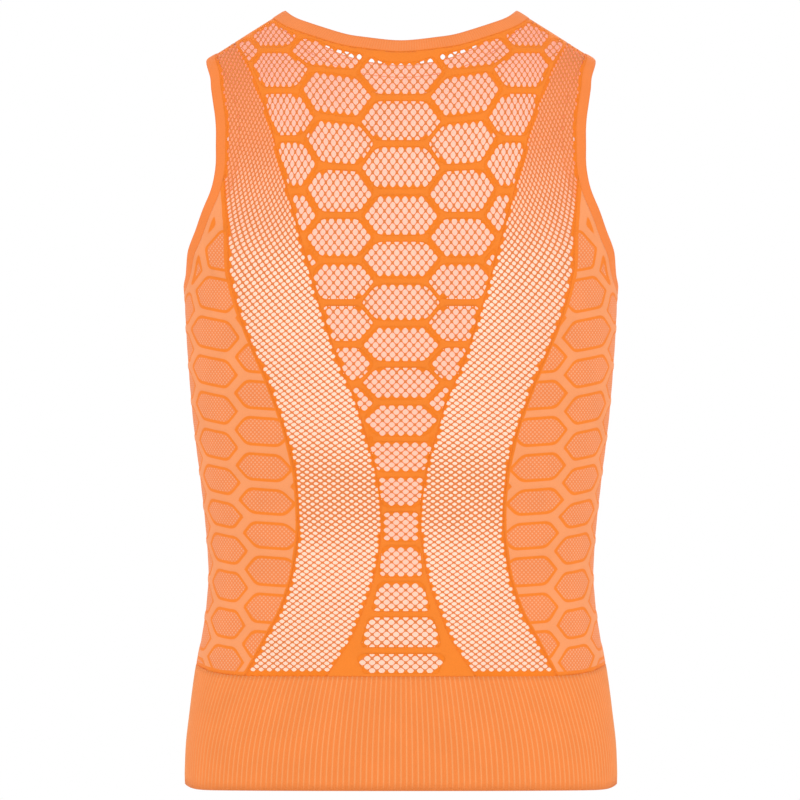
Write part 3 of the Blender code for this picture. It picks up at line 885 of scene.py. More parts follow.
def centre_apart(x, height):
    """The distance for the centre back: negative in a cell, positive in the ribs and borders."""
    flat_height = height - rows_rise(x, height)
    row, pitch = centre_rib_rows.at(flat_height)
    level_rib = read_table(LEVEL_RIB, height)
    inward = np.clip(1 - (np.abs(x) / FAN_REACH) ** 4, 0, 1)
    across = np.abs(x) / (1 + read_table(COLUMN_FAN, height) * inward)
    cells = honeycomb(across, row, pitch, CENTRE_COLUMNS, level_rib, SLANT_RIB, CORNER_BLEND)
    rungs = np.abs(row - np.round(row)) * pitch - pitch / 2 + level_rib
    cells = np.where(flat_height < LADDER_TOP, rungs, cells)
    seams = past(centre_seam, np.abs(x), height) + read_table(SEAM_BORDER, height)
    neck = (height - neck_back_line(x)) * NECK_SLOPE + read_table(NECK_BORDER, np.abs(x))
    foot = hem_line(x) + FOOT_BORDER - height
    edges = smooth_max(smooth_max(seams, foot, EDGE_BLEND), neck, EDGE_BLEND)
    return smooth_max(cells, edges, CORNER_BLEND)


pitches = -np.diff(CENTRE_RIBS)
print("cells from", pitches.min().round(1), "to", pitches.max().round(1), "mm tall")

# %% [markdown]
# The net inside the cells comes first, then the ribs over it. The net's rows are tall between the
# shoulder blades and flatter at the waist, where the knit is stretched sideways.

# %% The centre back's net
CENTRE_NET = np.array([  # height, step sideways, row height
    (95, 8.0, 3.35), (132, 8.0, 3.35), (190, 7.8, 3.34), (249, 7.8, 3.17), (310, 7.65, 3.5),
    (374, 7.05, 3.9), (443, 7.0, 4.2), (519, 6.75, 4.65), (558, 6.9, 4.46), (640, 7.1, 3.7),
])  # fmt: skip
FULL_HOLE, LAST_HOLE = -1.4, 0.2  # how far from a rib holes are whole, and where they end
BESIDE_RIB = 0.75  # the size of the last hole
UNDER_RIB = 3.0  # the net runs on this far below a rib
NET_SQUEEZE, SQUEEZE_REACH = 8e-6, 2e4  # how much the net tightens with the half width squared
SQUEEZE_FROM, SQUEEZE_RUN = 430.0, 90.0  # and over which heights

centre_rows = Rows(CENTRE_NET)


def place_centre(column, row):
    """The point of the centre back at a column and row of its net."""
    height = centre_rows.height_of(row)
    flat_x = column * along(CENTRE_NET, height) / 2
    squeeze = NET_SQUEEZE * np.clip((height - SQUEEZE_FROM) / SQUEEZE_RUN, 0, 1)
    x = flat_x * (1 - squeeze * np.minimum(flat_x**2, SQUEEZE_REACH))
    return x, height + rows_rise(x, height)


def beside_ribs(distance):
    """The size of a hole: 1 well inside a cell, less beside a rib, and none under it."""
    share = np.clip((distance - FULL_HOLE) / (LAST_HOLE - FULL_HOLE), 0, 1)
    size = np.where(distance > LAST_HOLE, CLOSED, 1 - (1 - BESIDE_RIB) * share)
    return np.where(distance > UNDER_RIB, NOT_NEEDED, size)


print("holes from the middle of a cell to its rib:", beside_ribs(np.linspace(-2, 1, 7)).round(2))

# %% [markdown]
# The ribs are one smooth web. A fine grid covers the panel, the quads that lie in a cell are left
# out, and the points along the new edge slide onto the line where the distance is zero. That gives a
# clean outline from a plain grid. A second small tree gives the web its wall and its round shoulders.

# %% The tree for solid knit, and a web cut from a grid
RIM_ROUND = 0.7  # millimetres from the edge over which a rib rises
WEB_INSET = 0.3  # the web starts this far inside the line where the holes end
WEB_STEP, SLOPE_STEP = 2.0, 0.1
NEAR_EDGE, SLIDES = 1.5 * WEB_STEP, 4  # points this near the edge slide to it, in so many goes
LEAST_QUAD, LEAST_SLOPE = 0.01, 0.3  # smaller quads are dropped, and gentler slopes taken as this


def solid_knit():
    graph, given = start_tree("solid knit", ["Wall", "Rise"])
    return finish_tree(graph, given, given["Geometry"], given["Rise"] * stored(graph, "rise"))


SOLID_TREE = solid_knit()


def round_shoulder(distance, width):
    """0 at a rib's edge and 1 from a width inside it, on a quarter circle."""
    share = np.clip(distance / width, 0, 1)
    return np.sqrt(1 - (1 - share) ** 2)


def web_apart(x, height):
    return centre_apart(x, height) - WEB_INSET


def cut_web(name, x_line, height_line):
    """A grid on the centre back, kept where it is rib, with its outline where the ribs begin."""
    x, height = keep_in_centre(*[v.ravel() for v in np.meshgrid(x_line, height_line)])
    faces = grid_faces(len(height_line), len(x_line))
    distance = web_apart(x, height)
    whole = flat_area(x[faces], height[faces]) > LEAST_QUAD * WEB_STEP**2
    kept = (distance[faces].mean(axis=1) > 0) & whole
    beside = np.zeros(len(x), bool)
    beside[faces[~kept & whole]] = True
    for _ in range(SLIDES):
        slopes = [
            (web_apart(x + a, height + b) - web_apart(x - a, height - b)) / (2 * SLOPE_STEP)
            for a, b in ((SLOPE_STEP, 0), (0, SLOPE_STEP))
        ]
        steep = np.maximum(slopes[0] ** 2 + slopes[1] ** 2, LEAST_SLOPE)
        move = np.clip(web_apart(x, height), -WEB_STEP, WEB_STEP) / steep
        move = np.where(beside & (np.abs(distance) < NEAR_EDGE), move, 0)
        x, height = keep_in_centre(x - move * slopes[0], height - move * slopes[1])
    faces = faces[kept]
    used, index = np.unique(faces, return_inverse=True)
    x, height = x[used], height[used]
    distance = np.maximum(web_apart(x, height), 0)
    values = {
        "rise": round_shoulder(distance, RIM_ROUND),
        "apart": distance,
        "knit": knit_place(x, height),
    }
    return build_mesh(name, placed(on_face(BACK, x, height)), index.reshape(faces.shape), values)


def grid_piece(name, points, values, tree, closed=False, **sizes):
    """A strip or a panel from a grid of points, with its wall."""
    faces = grid_faces(*points.shape[:2], closed)
    return run_tree(build_mesh(name, placed(points), faces, values), tree, **sizes)


print("a rib's shoulder:", round_shoulder(np.linspace(0, RIM_ROUND, 5), RIM_ROUND).round(2))

# %% [markdown]
# The two bands of fine net run from the shoulders to the hem. Their columns of holes lean: above the
# waist they tilt towards the spine, below it slightly outward. The table holds the step, the row
# height and that lean, and the reference column is the sum of the lean along the band.

# %% The mesh bands' net
BAND_NET = np.array([  # height, step sideways, row height, lean
    (95, 6.85, 2.6, 0.05), (142, 7.0, 2.45, 0.09), (192, 7.1, 2.45, 0.1), (242, 7.25, 2.42, 0.06),
    (267, 7.4, 2.42, -0.03), (292, 7.4, 2.5, -0.12), (342, 6.85, 2.6, -0.22), (392, 6.5, 2.72, -0.2),
    (442, 5.9, 3.15, -0.24), (467, 4.85, 3.25, -0.3), (492, 3.9, 3.4, -0.26), (518, 3.25, 3.45, -0.2),
    (568, 3.15, 3.25, -0.04), (620, 3.1, 3.2, 0.1),
])  # fmt: skip
BAND_HOLES = np.array([(95, 1.0), (200, 1.0), (232, 0.84), (262, 0.84), (300, 1.0), (400, 1.0), (480, 0.92),
                       (560, 0.84), (620, 0.78)])  # fmt: skip
LAST_BAND_HOLE = -0.4
BAND_EDGING = 0.8  # solid knit beside the seams of a band
BAND_TILT, TILT_FROM, TILT_RUN = 0.12, 400.0, 60.0  # its rows climb outward from this height
WAIST = 250.0
SHOULDER_SLOPE = 0.85  # the shoulder's slope makes a height this much less across it

band_rows = Rows(BAND_NET)
band_heights = np.arange(LOWEST, HIGHEST)


def middle_of_band(height):
    return (centre_seam(height) + side_seam(height)) / 2


def reference_column():
    """The half width of one column of holes at each height, summed up and down from the waist."""
    step = along(BAND_NET, band_heights)
    widening = np.gradient(step) / step
    lean = along(BAND_NET, band_heights, 3)
    middle = middle_of_band(band_heights)
    column = middle.copy()
    waist = int(np.argmin(np.abs(band_heights - WAIST)))
    for i in range(waist + 1, len(column)):
        column[i] = column[i - 1] + lean[i] - (middle[i] - column[i - 1]) * widening[i]
    for i in range(waist - 1, -1, -1):
        column[i] = column[i + 1] - lean[i] + (middle[i] - column[i + 1]) * widening[i]
    return column


BAND_COLUMN = reference_column()


def place_band(column, row):
    height = band_rows.height_of(row)
    step = along(BAND_NET, height)
    x = np.interp(height, band_heights, BAND_COLUMN) + column * step / 2
    tilt = BAND_TILT * np.clip((height - TILT_FROM) / TILT_RUN, 0, 1)
    return x, height + tilt * (x - middle_of_band(height))


def band_apart(x, height):
    """The distance for a band: negative in the net, positive in the solid edging."""
    inner = BAND_EDGING - past(centre_seam, x, height)
    outer = BAND_EDGING + past(side_seam, x, height)
    foot = hem_line(x) - height + FOOT_BORDER
    shoulder = (height - shoulder_line(x)) * SHOULDER_SLOPE + BAND_EDGING
    return np.maximum(np.maximum(inner, outer), np.maximum(foot, shoulder))


def band_openness(x, height):
    return np.where(band_apart(x, height) > LAST_BAND_HOLE, CLOSED, read_table(BAND_HOLES, height))


print("the reference column runs from", BAND_COLUMN.min().round(), "to", BAND_COLUMN.max().round(), "mm out")

# %% [markdown]
# Colours are written as a paint chart gives them and turned into the linear values that Blender
# mixes. One function makes every cloth, with what yarn has: fine stitches in rows, an uneven tone
# from stitch to stitch and a soft sheen. It also paints the lining side pale, with painted bounce light and
# shade.

# %% What every cloth has


def paint(red, green, blue):
    """A colour from 0 to 255 as linear light."""
    values = [v / 255 for v in (red, green, blue)]
    return (*[v / 12.92 if v <= 0.04045 else ((v + 0.055) / 1.055) ** 2.4 for v in values], 1.0)


DEEP = paint(253, 133, 32)
# Partly the yarn's orange and partly painted shade: the strands are darkened as thin round strands look in
# their own shadow.
STRAND_WITH_PAINTED_SHADE = paint(234, 134, 72)
CORAL = paint(254, 160, 102)
PALE = paint(254, 188, 146)
GROUND = paint(250, 140, 78)
# Painted bounce light and shade: the lining side is painted pale as if orange light bounced onto a pale
# ground, rosier behind the honeycomb and warmer high up.
REVERSE_PAINTED_BOUNCE = paint(255, 228, 211)  # the lining side, painted pale with orange bounce light
REVERSE_ROSY_PAINTED_BOUNCE = paint(255, 204, 187)
REVERSE_WARM_PAINTED_BOUNCE = paint(255, 174, 136)
STITCH_BUMP, STITCH_RELIEF = 0.35, 0.4 * MM
PATCHES, SPECKLES = (0.035, 3.0), (0.9, 2.0)  # scale and detail of the uneven tone
DARKEST_SHADE, SHADE_RANGE = 0.95, 0.08
YARN_ROUGHNESS = -0.1  # yarn is this much less rough than the gaps between
MATT = {"Sheen Weight": 0.04, "Sheen Roughness": 0.5, "Specular IOR Level": 0.2}


def start_cloth(name):
    material = bpy.data.materials.new(name)
    material.use_nodes = True
    material.node_tree.nodes.clear()
    return material, Graph(material.node_tree)


def attribute(graph, name, output="Fac"):
    return graph.add("ShaderNodeAttribute", output=output, attribute_name=name)


def knit_parts(graph):
    """Millimetres across and up the flat knit."""
    parts = graph.node("ShaderNodeSeparateXYZ", [attribute(graph, "knit", "Vector")])
    return (Value(graph, parts.outputs[i]) for i in (0, 1))


def stitches(graph, width, height):
    """Small V-shaped stitches in columns: 1 on the yarn and 0 between."""
    across, up = knit_parts(graph)
    column = graph.wave(across, width)
    rows = graph.wave(up + column * (0.4 * height), height)
    return column * 0.55 + rows * 0.45


def mottle(graph, scale, detail):
    knit = attribute(graph, "knit", "Vector")
    return graph.add("ShaderNodeTexNoise", {"Vector": knit, "Scale": scale, "Detail": detail})


def finish_cloth(graph, colour, yarn, roughness, relief=None):
    """The shader of a matt knit with painted bounce light on its pale lining. relief stands for the yarn's if
    given.
    """
    # The lining side gets the painted pale reverse: painted bounce light and shade, warmer high up and rosier
    # behind the spine.
    reverse = graph.mix(attribute(graph, "warm"), REVERSE_PAINTED_BOUNCE, REVERSE_WARM_PAINTED_BOUNCE)
    reverse = graph.mix(attribute(graph, "rosy"), reverse, REVERSE_ROSY_PAINTED_BOUNCE)
    colour = graph.mix(attribute(graph, "lining"), colour, reverse)
    tone = (mottle(graph, *PATCHES) + mottle(graph, *SPECKLES)) * 0.5
    shade = graph.between(tone, 0.25, 0.75) * SHADE_RANGE + DARKEST_SHADE
    varied = graph.add("ShaderNodeVectorMath", {0: colour, 3: shade}, operation="SCALE")
    inputs = {"Strength": STITCH_BUMP, "Distance": STITCH_RELIEF, "Height": relief or yarn}
    normal = graph.add("ShaderNodeBump", inputs)
    roughness = roughness + yarn * YARN_ROUGHNESS
    inputs = {"Base Color": varied, "Roughness": roughness, "Normal": normal, **MATT}
    shader = graph.add("ShaderNodeBsdfPrincipled", inputs)
    graph.node("ShaderNodeOutputMaterial", {"Surface": shader})


print("the deep orange as linear light:", [round(v, 3) for v in DEEP[:3]])

# %% [markdown]
# Two of the cloths are simple mixes. The net's strands have another tone at the rim of each hole, and
# turn to the colour of the ribs where a rib or a closed hole is near. A rib is darker at its edge.

# %% The cloth of the nets and of the ribs


def net_material(name, strand, rib, rim):
    material, graph = start_cloth(name)
    yarn = stitches(graph, 0.9, 0.7)
    near_rib = graph.between(attribute(graph, "apart"), -1.8, -1.0)
    closed = graph.between(attribute(graph, "hole"), 0.1, 0.0)
    colour = graph.mix(attribute(graph, "rim") * 0.35, strand, rim)
    colour = graph.mix(yarn * 0.12, colour, PALE)
    colour = graph.mix(graph.math("MAXIMUM", near_rib, closed), colour, rib)
    finish_cloth(graph, colour, yarn, 0.8)
    return material


def rib_material(name, tone, edge):
    material, graph = start_cloth(name)
    yarn = stitches(graph, 1.15, 0.85)
    inside = graph.between(attribute(graph, "apart"), 0.1, 1.4)
    colour = graph.mix(inside, edge, tone)
    colour = graph.mix(yarn * 0.06, colour, CORAL)
    finish_cloth(graph, colour, yarn, 0.78)
    return material


NET_CLOTH = net_material("open net", STRAND_WITH_PAINTED_SHADE, DEEP, DEEP)
FRONT_CLOTH = net_material("front knit", paint(250, 137, 60), paint(252, 139, 58), PALE)
RIB_CLOTH = rib_material("smooth rib", paint(253, 137, 40), DEEP)
EDGE_CLOTH = rib_material("edging", DEEP, DEEP)
print("cloths:", ", ".join(cloth.name for cloth in (NET_CLOTH, FRONT_CLOTH, RIB_CLOTH, EDGE_CLOTH)))

# %% [markdown]
# Now the first panel can be made. Net and ribs become one piece, as they are in the garment: one
# panel with two kinds of knit.

# %% The centre back


def joined(pieces):
    """All the pieces as the first of them."""
    first = pieces[0]
    chosen = {"active_object": first, "object": first, "selected_editable_objects": pieces}
    with bpy.context.temp_override(**chosen):
        bpy.ops.object.join()
    print(f"{first.name}: {triangle_count(first)} triangles in one piece")
    return first


centre_net = lay_net(
    "centre_back_cloth", BACK, (-44, 45), centre_rows.range(90, 645), 3,
    place_centre, keep_in_centre, lambda x, h: beside_ribs(centre_apart(x, h)), centre_apart,
)  # fmt: skip
run_tree(centre_net, NET_TREE, material=NET_CLOTH, wall=0.55 * MM, crown=0.18 * MM,
         edge_reach=0.87, corner_reach=0.69, open=1.0)  # fmt: skip
centre_ribs = cut_web("centre_ribs", np.arange(-140, 142, WEB_STEP), np.arange(92, 648, WEB_STEP))
run_tree(centre_ribs, SOLID_TREE, material=RIB_CLOTH, wall=0.8 * MM, rise=0.2 * MM)
centre_back = joined([centre_net, centre_ribs])

# %% [markdown]
# The bands are a net with a narrow edging of solid knit along both seams. An edging is a ribbon: the
# seam line, and the same line moved across the cloth a few times.

# %% The mesh bands
EDGING_POINTS, EDGING_ROUND = 220, 0.8
EDGINGS = [  # name, seam, gap, height of its top, half width that it widens towards
    ("inner", centre_seam, SEAM_GAP, 622.5, 400.0), ("outer", side_seam, -SEAM_GAP, 613.5, 0.0),
]  # fmt: skip


def ribbon(name, line, width, steps, towards):
    """A strip along a line on the form, as wide as given, on the side that towards points to."""
    rows = [line]
    for _ in range(steps):
        last = rows[-1]
        step = sideways(last, np.gradient(last, axis=0), towards - last) * width / steps
        rows.append(settle(last + step, rounds=4))
    points = np.array(rows)
    inside = width * np.broadcast_to(np.linspace(0, 1, steps + 1)[:, None], points.shape[:2])
    values = {
        "rise": round_shoulder(width - inside, EDGING_ROUND),
        "apart": width - inside,
        "knit": knit_place(run_length(line), inside),
    }
    return grid_piece(name, points, values, SOLID_TREE, material=EDGE_CLOTH, wall=1.1 * MM, rise=0.2 * MM)


def make_band(side, sign):
    net = lay_net(
        f"mesh_band_{side}_cloth", BACK, (-60, 90), band_rows.range(90, 628), 2,
        place_band, keep_in_band, band_openness, band_apart, sign,
    )  # fmt: skip
    run_tree(net, NET_TREE, material=NET_CLOTH, wall=0.5 * MM, crown=0.16 * MM,
             edge_reach=0.86, corner_reach=0.66, open=1.0)  # fmt: skip
    pieces = [net]
    for label, seam, gap, top, aim in EDGINGS:
        foot = hem_line(seam(HEM_BAND_AT_CENTRE)) + SEAM_GAP
        height = np.linspace(foot, top, EDGING_POINTS)
        line = on_face(BACK, seam(height) + gap, height)
        towards = (line * [0, 1, 1] + [aim, 0, 0]) * [sign, 1, 1]
        pieces.append(ribbon(f"edging_{side}_{label}", line * [sign, 1, 1], BAND_EDGING, 2, towards))
    return joined(pieces)


mesh_bands = {side: make_band(side, sign) for side, sign in SIDES.items()}

# %% [markdown]
# From behind, the front is only a pale ground behind the net. A maker of such a garment closes the
# front for modesty, so this panel is a piqué: the same diamonds as the nets, with a floor left in each
# and the yarn round it raised. Inside, its lining side is painted pale with bounce light and shade,
# rosier behind the honeycomb.

# %% The front panel
FRONT_STEP, FRONT_ROW, FRONT_FOOT, FRONT_BORDER = 6.0, 3.4, 90.0, 3.0


def place_front(column, row):
    return column * FRONT_STEP / 2, FRONT_FOOT + row * FRONT_ROW


def front_apart(x, height):
    """The distance for the front: positive in a smooth border along its seams, but not the shoulder's."""
    neck_lean = (neck_front_line(np.abs(x) + 1) - neck_front_line(np.maximum(np.abs(x) - 1, 0))) / 2
    neck = (height - neck_front_line(x)) / np.hypot(1, neck_lean)
    neck = np.where(np.abs(x) < neck_seam[NECK_BACK_STEPS, 0], neck, -height)
    edge = np.maximum(past(front_seam, np.abs(x), height), neck)
    return np.maximum(edge, hem_line(x) - height) + FRONT_BORDER


front_panel = lay_net(
    "front_panel_cloth", FRONT, (-54, 55), (0, 165), 1,
    place_front, keep_in_front, lambda x, h: np.where(front_apart(x, h) > 0, CLOSED, 1.0), front_apart,
)  # fmt: skip
run_tree(front_panel, NET_TREE, material=FRONT_CLOTH, wall=0.5 * MM, crown=0.2 * MM,
         edge_reach=0.72, corner_reach=0.72, open=0.0)  # fmt: skip

# %% [markdown]
# The sides are a firm double knit. Coral ridges stand up in a honeycomb, each cell has a dark
# outline, and its ground is a fine knit full of pale dots. The columns of cells follow the flank,
# so the honeycomb is laid out in millimetres round the ring and not as seen from behind. A table of
# those millimetres is made once, and points are then read from it.

# %% Millimetres round the ring
ARC_TURNS = np.linspace(0, np.pi, 361)
ARC_HEIGHTS = np.arange(LOWEST, 530, 2.0)


def turn_of(point):
    """The angle round its ring of a point on the right half."""
    wide, deep, forward = ring_at(point[..., 2])
    across = np.abs(point[..., 0] / wide) ** (ROUNDNESS / 2)
    back = (forward - point[..., 1]) / deep
    return np.arctan2(across, np.sign(back) * np.abs(back) ** (ROUNDNESS / 2))


def arc_table():
    """Millimetres round the ring from the centre back to each turn, at each height."""
    points = on_ring(ARC_TURNS[:, None], ARC_HEIGHTS)
    steps = np.linalg.norm(np.diff(points, axis=0), axis=-1)
    return np.concatenate([np.zeros((1, len(ARC_HEIGHTS))), np.cumsum(steps, axis=0)])


ARCS = arc_table()


def arc_of(turn, height):
    """The same for any points, read from the table."""
    places = []
    for value, line in ((turn, ARC_TURNS), (height, ARC_HEIGHTS)):
        place = np.clip((value - line[0]) / (line[1] - line[0]), 0, len(line) - 1.001)
        places.append((place.astype(int), place % 1))
    (i, u), (j, v) = places
    low = ARCS[i, j] * (1 - u) + ARCS[i + 1, j] * u
    high = ARCS[i, j + 1] * (1 - u) + ARCS[i + 1, j + 1] * u
    return low * (1 - v) + high * v


print("half way round at the chest:", arc_of(np.pi, np.array(480.0)).round(1), "mm")

# %% [markdown]
# The columns' flat edges change with height: the second column is widest above the waist and narrow
# beside the armhole, and the others keep one pace on either side of it. The rows lift a little at the
# flank.

# %% The honeycomb of the sides
SIDE_RIBS = np.array([470, 429.5, 394.8, 362, 331.8, 301.5, 271.5, 243, 215.5, 185.5, 154, 123, 92])
# height, then in mm round the ring: the end of the first column's flat edges, the start and the end
# of the second's, and the start of the third's
SIDE_FLATS = np.array([
    (98, 131.5, 144.5, 173, 190), (140, 130.5, 144, 173.3, 190), (172, 128, 142.5, 174, 191),
    (202, 128, 143, 178, 193), (230, 131.5, 147, 179.5, 196), (258, 135.5, 150.5, 186, 201),
    (285, 136.5, 151.5, 187.5, 203.5), (315, 136.5, 151.5, 190, 206), (350, 136.5, 151.5, 194.5, 212),
    (383, 133, 149.5, 192, 214), (400, 132, 149, 190, 210), (416, 131, 149, 183, 201),
    (432, 130, 149, 177, 193), (452, 128, 148, 166, 180), (470, 126, 146, 158, 170),
])  # fmt: skip
SIDE_LIFT = np.array([(90, -4), (115, -2.5), (154, 0), (191, 5), (225, 8), (260, 5), (300, 0), (330, -3)])
FLAT_LENGTH, SLANT_LENGTH = 36.0, 15.0
RIDGE_LEVEL, RIDGE_SLANT, OUTLINE = 2.8, 3.5, 2.5
ARMHOLE_BORDER, RIDGE_BLEND = 3.4, 3.5


def side_columns(height):
    """The start and end of each column's flat edges, from the centre back round to the front."""
    first, start, end, third = (along(SIDE_FLATS, height, column) for column in (1, 2, 3, 4))
    pace = FLAT_LENGTH + SLANT_LENGTH
    behind = [(first - FLAT_LENGTH - k * pace, first - k * pace) for k in (2, 1, 0)]
    ahead = [(third + k * pace, third + FLAT_LENGTH + k * pace) for k in range(6)]
    return [*behind, (start, end), *ahead]


side_rib_rows = RibRows(SIDE_RIBS)


def side_apart(arc, height, from_armhole):
    """The distance for the sides: positive in a ridge, negative in a cell."""
    row, pitch = side_rib_rows.at(height - read_table(SIDE_LIFT, arc))
    cells = honeycomb(arc, row, pitch, side_columns(height), RIDGE_LEVEL, RIDGE_SLANT, RIDGE_BLEND)
    return smooth_max(cells, ARMHOLE_BORDER - from_armhole, RIDGE_BLEND)


flats = SIDE_FLATS[:, 3] - SIDE_FLATS[:, 2]
print("the second column's flat edges are", flats.min(), "to", flats.max(), "mm long")

# %% [markdown]
# A side is a grid from the hem line up to the armhole. Its columns are even at the waist. Further up
# they lean to where even steps along the armhole's seam are, so that the grid ends on that curve.

# %% The grid of a side
SIDE_COLUMNS, SIDE_ROWS, SEAM_SAMPLES = 116, 190, 240
UNDER_WEDGE = 0.01
TURN_FROM, TURN_RUN = 380.0, 60.0  # the columns lean to the armhole's steps over these heights


def side_turns(height):
    """The turns of a side's seams at the back and at the front."""
    behind = np.minimum(height, back_wedge[2] - UNDER_WEDGE)
    ahead = np.minimum(height, front_wedge[2] - UNDER_WEDGE)
    back = turn_of(on_face(BACK, side_seam(behind), behind))
    return back, turn_of(on_face(FRONT, front_seam(ahead), ahead))


def hem_height(turn_at, columns, gap, rounds=8):
    """How high the hem line is at each column, with a gap above or below it."""
    height = np.full(columns, HEM_BAND_AT_CENTRE)
    for _ in range(rounds):
        height = hem_line(on_ring(turn_at(height), height)[:, 0]) + gap
    return height


def side_grid():
    """Turn, height and share of the way across, for each point of the right side."""
    heights = np.linspace(HEM_BAND_AT_CENTRE, back_wedge[2], SEAM_SAMPLES)
    seams = side_turns(heights)

    def turn_at(height, across):
        back, front = (np.interp(height, heights, turn) for turn in seams)
        return back * (1 - across) + front * across

    start = nearest_height(armhole_seam[:half], BACK_WEDGE)
    end = half + nearest_height(armhole_seam[half:], FRONT_WEDGE)
    tops = armhole_seam[start : end + 1]
    first, last = (np.interp(tops[:, 2], heights, turn) for turn in seams)
    share = np.clip((turn_of(tops) - first) / (last - first), 0, 1)
    share[0], share[-1] = 0, 1
    length = run_length(tops)
    at = np.linspace(0, length[-1], SIDE_COLUMNS + 1)
    share = np.interp(at, length, np.maximum.accumulate(share))
    top = np.interp(at, length, tops[:, 2]) - SEAM_GAP
    even = np.linspace(0, 1, SIDE_COLUMNS + 1)
    foot = hem_height(lambda height: turn_at(height, even), SIDE_COLUMNS + 1, SEAM_GAP)
    height = foot + np.linspace(0, 1, SIDE_ROWS + 1)[:, None] * (top - foot)
    blend = eased((height - TURN_FROM) / TURN_RUN)
    across = even * (1 - blend) + share * blend
    return turn_at(height, across), height, across


turn, height, _ = side_grid()
print("a side spans", np.degrees(np.ptp(turn)).round(), "degrees of the ring and reaches",
      height.max().round(1), "mm up")  # fmt: skip

# %% [markdown]
# The cloth of the sides reads the same distance: pale dots on the ground, the dark outline just
# outside a ridge, and coral on the ridge itself. A dark border runs along the seams.

# %% The cloth of the sides
DOT_ACROSS, DOT_UP = 3.8, 3.6  # millimetres from dot to dot, with one more in the middle of each four
OUTLINE_EDGE = 0.35  # its colours change over this distance on either side


def side_material():
    material, graph = start_cloth("ridged side knit")
    yarn = stitches(graph, 1.3, 0.9)
    waves = [
        graph.math("COSINE", part * (2 * math.pi / step))
        for part, step in zip(knit_parts(graph), (DOT_ACROSS, DOT_UP))
    ]
    apart = attribute(graph, "apart")
    dots = graph.between(waves[0] * waves[1], 0.15, 0.6)
    ground = graph.mix(dots * 0.75, GROUND, PALE)
    cell = graph.between(apart, -OUTLINE + OUTLINE_EDGE, -OUTLINE - OUTLINE_EDGE)
    ridge = graph.between(apart, -0.3, 0.35)
    colour = graph.mix(cell, DEEP, ground)
    colour = graph.mix(ridge, colour, CORAL)
    colour = graph.mix(graph.between(attribute(graph, "border"), 1.1, 0.9), colour, DEEP)
    colour = graph.mix(yarn * 0.06, colour, PALE)
    finish_cloth(graph, colour, yarn, 0.8, relief=yarn * 0.5 - dots * cell * 0.8)
    return material


SIDE_CLOTH = side_material()
print("the outline ends", OUTLINE, "mm from its ridge")

# %% [markdown]
# Last the panel itself. It needs how far each point is from the seams and from the armhole. A ridge
# has round shoulders, and the ground of a cell swells a little in its middle.

# %% The sides
SIDE_BORDER = np.array([(390, 2.3), (410, 3.6)])  # height, solid knit beside the band's seam
SEAM_TURN = SEAM_GAP / 100  # the gap as a turn, where the ring is about 100 mm from its middle
RIDGE_ROUND, PILLOW, PILLOW_RUN = 1.6, 0.25, 6.0


def recut(loop, times):
    """A closed loop with so many points for each one it had."""
    return cut_evenly(np.concatenate([loop, loop[:1]]), len(loop) * times)[:-1]


def distance_to_line(points, line):
    """From each point to the nearest point of a line, in millimetres."""
    nearest = np.full(points.shape[:-1], np.inf)
    for spot in line:
        nearest = np.minimum(nearest, np.linalg.norm(points - spot, axis=-1))
    return nearest


def make_side(side, sign):
    turn, height, across = side_grid()
    points = on_ring(turn + SEAM_TURN * (1 - 2 * across), height)
    arc = arc_of(turn, height)
    distance = side_apart(arc, height, distance_to_line(points, recut(armhole_seam, 3)))
    back_turn, front_turn = side_turns(height)
    from_band = (arc - arc_of(back_turn, height)) / read_table(SIDE_BORDER, height)
    from_front = (arc_of(np.maximum(front_turn, turn), height) - arc) / SIDE_BORDER[0, 1]
    from_hem = (height - hem_line(points[..., 0])) / FOOT_BORDER
    pillow = PILLOW * np.clip((-distance - OUTLINE) / PILLOW_RUN, 0, 1)
    values = {
        "rise": np.where(distance > 0, round_shoulder(distance, RIDGE_ROUND), pillow),
        "apart": distance,
        "border": np.minimum(np.minimum(from_band, from_front), from_hem),
        "knit": knit_place(arc, height),
    }
    return grid_piece(f"side_{side}_cloth", points * [sign, 1, 1], values, SOLID_TREE,
                      material=SIDE_CLOTH, wall=0.9 * MM, rise=0.55 * MM)  # fmt: skip


sides = {side: make_side(side, sign) for side, sign in SIDES.items()}

# %% [markdown]
# The hem band is a rib knit: a thin raised wale, then a wider flat one, all the way round. The
# count stays the same from its top to the hem, so the wales fan out where the band flares. The tree
# raises them from a stored phase, so their number and depth are easy to change.

# %% The tree that raises fine ribs


def fine_ribs():
    graph, given = start_tree("fine ribs", ["Wall", "Depth", "Sharpness"])
    wave = graph.wave(stored(graph, "phase"), 1.0)
    ridge = graph.math("POWER", wave, given["Sharpness"]) * stored(graph, "ribbed")
    marked = store(graph, given["Geometry"], "ridge", ridge)
    return finish_tree(graph, given, marked, given["Depth"] * (ridge + stored(graph, "rise")))


def ribbed_material(name, ground, ridge, line_width):
    """One colour between the wales and one on them, with a deep line along the seam."""
    material, graph = start_cloth(name)
    yarn = stitches(graph, 1.4, 0.8)
    colour = graph.mix(attribute(graph, "ridge"), ground, ridge)
    line = graph.between(attribute(graph, "border"), line_width + 0.4, line_width - 0.4)
    colour = graph.mix(line, colour, DEEP)
    colour = graph.mix(yarn * 0.05, colour, PALE)
    finish_cloth(graph, colour, yarn, 0.78)
    return material


RIBS_TREE = fine_ribs()
HEM_CLOTH = ribbed_material("hem rib", paint(252, 139, 64), paint(254, 172, 108), 0.0)
NECK_CLOTH = ribbed_material("neck rib", paint(252, 140, 70), paint(253, 152, 88), 0.6)
ARMHOLE_CLOTH = ribbed_material("armhole binding", paint(253, 135, 58), paint(253, 138, 62), 0.7)
print("inputs of the tree:", [item.name for item in RIBS_TREE.interface.items_tree if item.in_out == "INPUT"])

